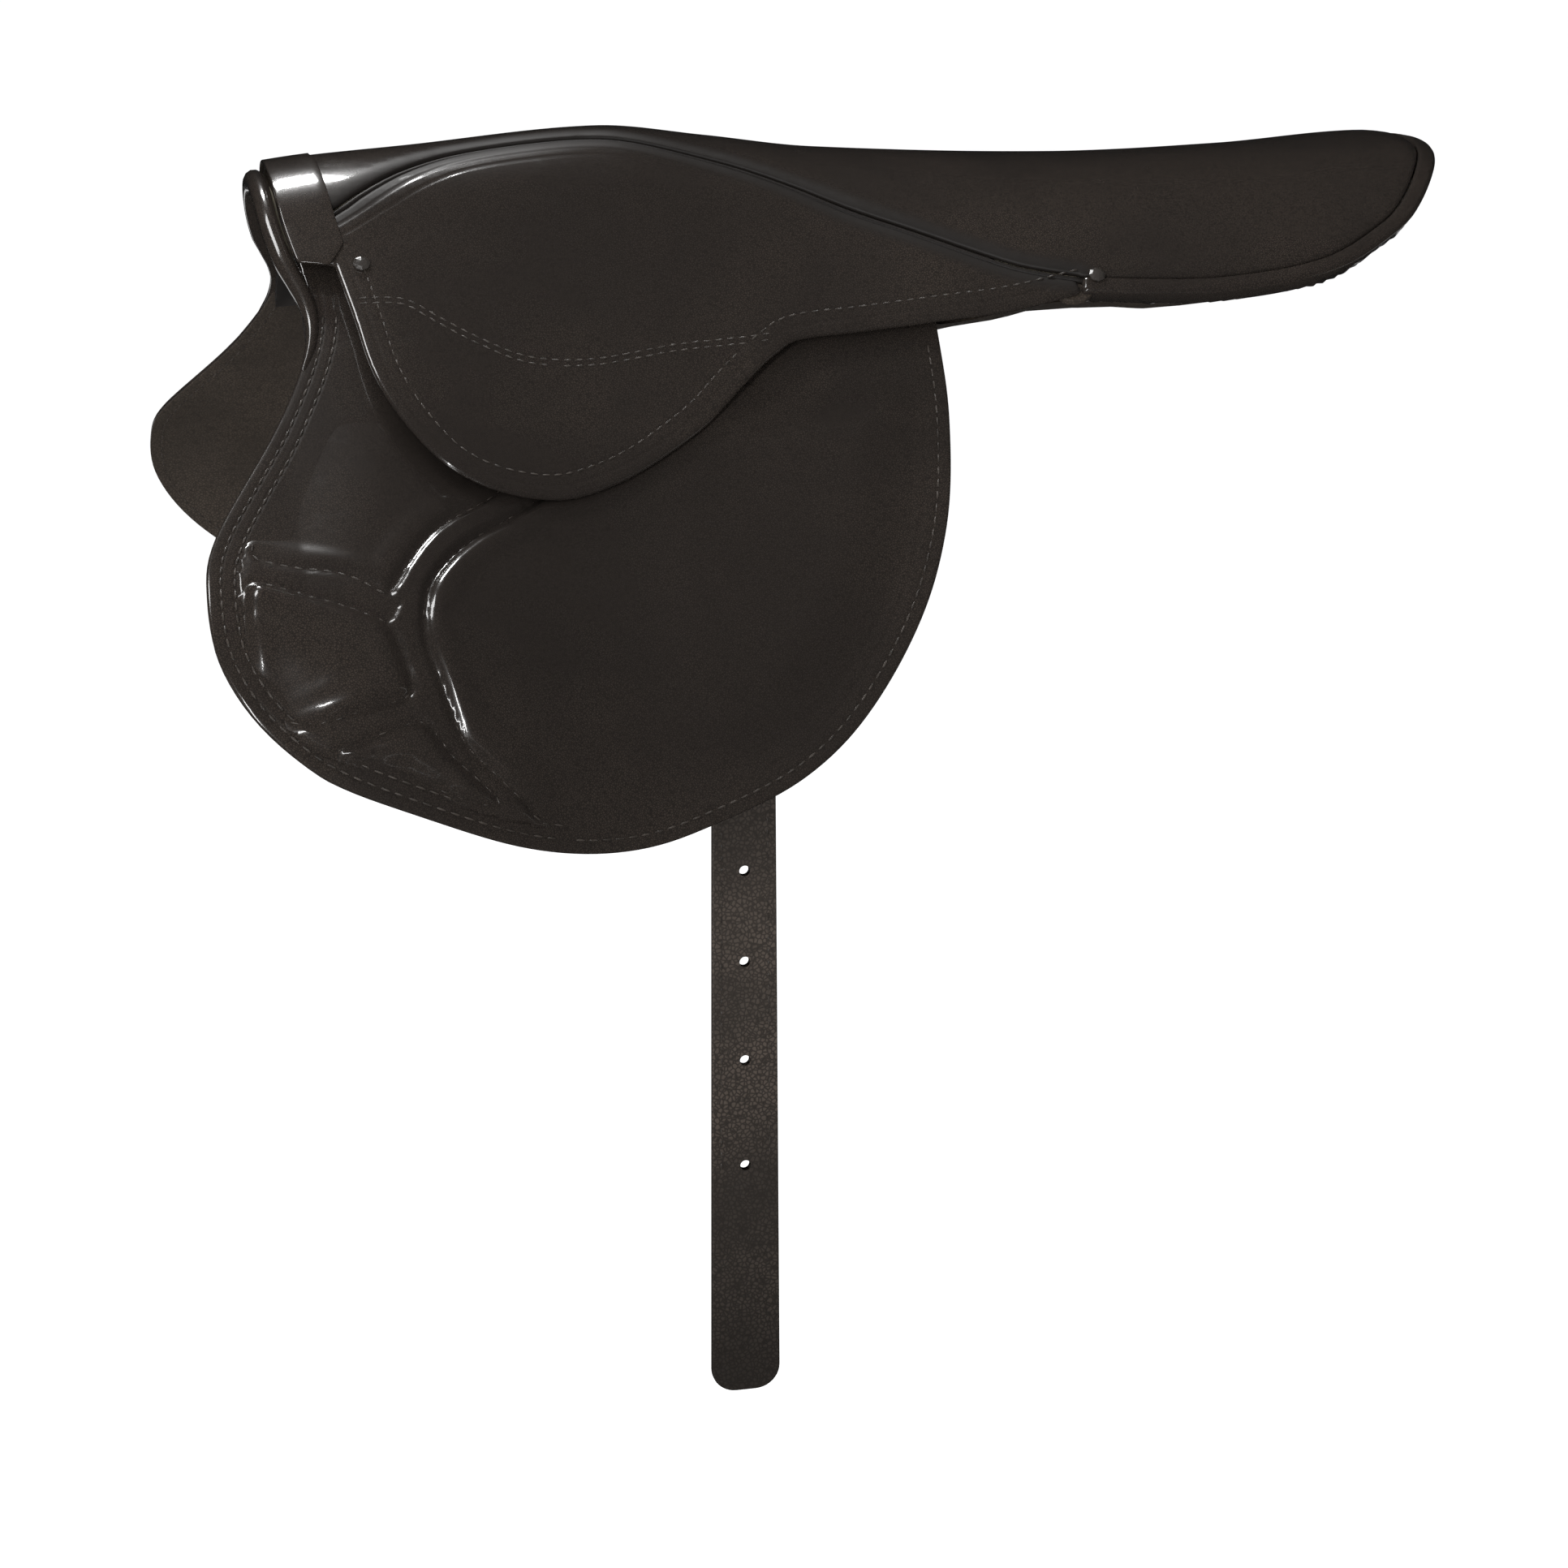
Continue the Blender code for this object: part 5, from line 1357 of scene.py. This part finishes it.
binding = finish_piece(bend_flat(binding, outline), "tail_binding_leather", [patent, patent],
                       "saddle", ["tail_binding"])
print("tail binding:", len(binding.data.polygons), "faces")

# %% [markdown]
# ## Patches under the rear nails
#
# Where seat, skirt and binding meet, a small round of leather lies under the nail and closes the
# corner.

# %% Leather patches under the rear nails
PATCH_AT, PATCH_REACH = (61, 91), (6.5, 5)
turns = [math.pi * k / 4 for k in range(8)]
patch_outline = closed_run([(PATCH_AT[0] + PATCH_REACH[0] * math.cos(a),
                             PATCH_AT[1] + PATCH_REACH[1] * math.sin(a)) for a in turns], 2)
patch = cut_flat(patch_outline, 2.5 * MM, 5.3 * MM, rim=0.4 * MM, step=4 * MM)
finish_pair(bend_flat(patch, patch_outline), "nail_patch", [lining_leather, lining_leather],
            "saddle")
print("patches at", PATCH_AT)

# %% [markdown]
# ## Girth straps
#
# A strap is one length of thick leather, cut a little wider towards its rounded end, with rubbed
# edges, punched holes and two rows of stitches along its doubled upper part. The near strap hangs
# free, so it is made in one: a face with a rounded end, extruded, bevelled, and cut across many
# times so that it can bend.

# %% One whole strap
STRAP_X, STRAP_TOP_Z, STRAP_END_Z, STRAP_PART_Z = -58 * MM, -38 * MM, -417.5 * MM, -228 * MM
STRAP_INNER, STRAP_THICK, STRAP_CORNER = 72.4 * MM, 3.0 * MM, 9.5 * MM
STRAP_TOP_WIDTH, STRAP_END_WIDTH, STRAP_STEP = 22.0 * MM, 26.6 * MM, 4 * MM
STRAP_MIDDLE = -STRAP_INNER - STRAP_THICK / 2
HOLE_Z, HOLE_RADIUS = (-210.3 * MM, -245.3 * MM, -283.8 * MM, -325.5 * MM), 2.0 * MM


def strap_half(z):
    """Half the strap's width at height z."""
    share = (STRAP_TOP_Z - z) / (STRAP_TOP_Z - STRAP_END_Z)
    return (STRAP_TOP_WIDTH + (STRAP_END_WIDTH - STRAP_TOP_WIDTH) * share) / 2


bm = bmesh.new()
corners = [(side * strap_half(z), z) for side, z in (
    (-1, STRAP_TOP_Z), (1, STRAP_TOP_Z), (1, STRAP_END_Z), (-1, STRAP_END_Z))]
face = bm.faces.new([bm.verts.new((STRAP_X + x, -STRAP_INNER - STRAP_THICK, z)) for x, z in corners])
low = [v for v in face.verts if v.co.z < STRAP_END_Z + MM]
bmesh.ops.bevel(bm, geom=low, offset=STRAP_CORNER, segments=10, profile=0.5, affect="VERTICES",
                material=-1)
raised = bmesh.ops.extrude_face_region(bm, geom=bm.faces[:])["geom"]
bmesh.ops.translate(bm, vec=(0, STRAP_THICK, 0),
                    verts=[v for v in raised if isinstance(v, bmesh.types.BMVert)])
bmesh.ops.recalc_face_normals(bm, faces=bm.faces)
bevel_rims(bm, [e for e in bm.edges if abs(e.verts[0].co.y - e.verts[1].co.y) < 1e-6], 0.8 * MM)
for k in range(1, math.ceil((STRAP_TOP_Z - STRAP_END_Z) / STRAP_STEP)):
    slice_mesh(bm, (0, 0, STRAP_TOP_Z - STRAP_STEP * k), (0, 0, 1), 0.05 * MM)
strap = stand_object(bm, "plain_strap")
print("plain strap:", len(strap.data.polygons), "faces")

# %% [markdown]
# ## Punched holes
#
# A punch is a round rod, and a Boolean takes the four rods out of the strap in one go. The holes let
# the background show through. The wide faces get straight normals, so that they stay flat to the
# light round each hole.

# %% Punch its holes
bm = bmesh.new()
for z in HOLE_Z:
    place = Matrix.Translation((STRAP_X, STRAP_MIDDLE, z)) @ Matrix.Rotation(math.pi / 2, 4, "X")
    bmesh.ops.create_cone(bm, cap_ends=True, segments=24, radius1=HOLE_RADIUS, radius2=HOLE_RADIUS,
                          depth=3 * STRAP_THICK, matrix=place)
punch = stand_object(bm, "punches")
cutting = strap.modifiers.new("holes", "BOOLEAN")
cutting.object, cutting.operation, cutting.solver = punch, "DIFFERENCE", "EXACT"
punched = bpy.data.meshes.new_from_object(strap.evaluated_get(bpy.context.evaluated_depsgraph_get()))
for item in (strap, punch):
    bpy.data.objects.remove(item)
whole_strap = merged_copy(punched)
keep_normals(whole_strap)
whole = whole_strap.verts.layers.float_vector["whole"]
for vert in whole_strap.verts:
    depth = vert.co.y - STRAP_MIDDLE
    if abs(depth) > STRAP_THICK / 2 - 0.01 * MM:
        vert[whole] = (0, math.copysign(1, depth), 0)
print("whole strap:", len(whole_strap.faces), "faces")

# %% [markdown]
# ## The near strap in two parts
#
# The strap bends at two places, and one mesh can bend at one joint only. So it is parted between
# two holes, where no bend reaches, and each part takes the place of the lengths it lies on.

# %% The near strap in two parts
FOLDS_Z, FOLD_REACH = (-184 * MM, -304.5 * MM), 8 * MM
for part, above, below, fold, keep, nodes in (
        ("upper", "upper", "middle", FOLDS_Z[0], 1, ("upper", "middle")),
        ("lower", "middle", "end", FOLDS_Z[1], -1, ("end",))):
    bm = whole_strap.copy()
    keep_part(bm, (0, 0, STRAP_PART_Z), (0, 0, keep))
    piece = finish_piece(bm, "near_strap_" + part, [strap_leather], None,
                         ["near_girth_strap_" + node for node in nodes])
    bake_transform(piece)
    print(piece.name, "bends at", round(fold / MM, 1), "mm")

# %% Stitches down the near strap
STRAP_PITCH, STRAP_ROW, STRAP_FACE = 4.6, 3.4 * MM, -STRAP_INNER - STRAP_THICK + 0.05 * MM
for part, top, low in (("upper", -52, -178), ("middle", -190, -298), ("end", -310, -330)):
    bm = bmesh.new()
    for side in (-1, 1):
        for k in range(int((top - low) / STRAP_PITCH)):
            z = (top - STRAP_PITCH * k) * MM
            a = Vector((STRAP_X + side * (strap_half(z) - STRAP_ROW), STRAP_FACE, z))
            set_stitch(bm, a, a - Vector((0, 0, FINE["long"])), Vector((0, -1, 0)), FINE["thick"])
    finish_piece(bm, "near_strap_stitches_" + part, [thread], "near_strap_" + part)

# %% [markdown]
# ## The folded off strap
#
# The other strap is stored folded in three behind its flap. Its lengths stay straight as it opens,
# so each is a copy of its plain solid with rounded edges.

# %% The folded off strap
for part in ("upper", "middle", "end"):
    node = frame["nodes"]["off_girth_strap_" + part]
    bm = merged_copy(node.data)
    bevel_rims(bm, [e for e in bm.edges if len(e.link_faces) == 2
                    and e.calc_face_angle(0) > math.radians(40)], 0.55 * MM)
    for layer in list(bm.loops.layers.uv):
        bm.loops.layers.uv.remove(layer)
    finish_piece(bm, node.name + "_leather", [strap_leather], "off_strap_" + part,
                 [node.name])
    print(node.name, "has rounded edges")

# %% [markdown]
# ## Linings, panels, felt, foam and webs
#
# What is hidden in the photograph still gets its own stuff: leather linings, stuffed panels, felt
# under the skirts, foam under the seat and canvas webs. Each is a merged copy of its plain solid,
# which already has the right size. A panel is thinned behind the flap, where it must not show.

# %% Finer copies of the hidden soft pieces
def rear_edge(x):
    """s of the saddle's lower edge behind the flap. A panel thins out towards it."""
    return through(SKIRT_EDGE[-4:-1] + TAIL_EDGE, 1, x / MM) * MM


SOFT_STUFFS = {"lining": lining_leather, "foam": foam, "web": canvas, "felt": felt}
SOFT_COPIES = {"gullet_lining": "lining", "tail_lining": "lining", "seat_foam": "foam",
               "seat_web": "web", "near_skirt_felt": "felt", "off_skirt_felt": "felt",
               "near_girth_web": "web", "off_girth_web": "web", "near_panel": "lining",
               "off_panel": "lining"}
BEHIND_FLAP, PANEL_SLOPE, SOFT_CORNER = 2 * MM, 0.26, math.radians(35)
for name, slot in SOFT_COPIES.items():
    node = frame["nodes"][name]
    bm = merged_copy(node.data)
    for vert in bm.verts if "panel" in name else ():
        if vert.co.x > BEHIND_FLAP:
            rim = bend(vert.co.x, rear_edge(vert.co.x), SKIN_LOW)
            vert.co.z = max(vert.co.z, rim.z + MM - PANEL_SLOPE * (abs(rim.y) - abs(vert.co.y)))
    piece = finish_piece(bm, name + "_soft", [SOFT_STUFFS[slot]], node["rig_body"], [name])
    piece.data.set_sharp_from_angle(angle=SOFT_CORNER)
    print(piece.name, "is", slot)

# %% [markdown]
# ## Tree, rails, rivets and nails
#
# The hard pieces already have their final shape in the CAD model. They only need a finish: laminate
# for the tree, dark lacquer for the saddle nails, and steel for rails and rivets.

# %% Tree, rails, rivets and nails
for name, node in frame["nodes"].items():
    if node.hide_render:
        continue
    node.data.materials.clear()
    node.data.materials.append(laminate if "tree" in name else dark_nail if "nail" in name else steel)
    print("finish of", name, "is", node.data.materials[0].name)
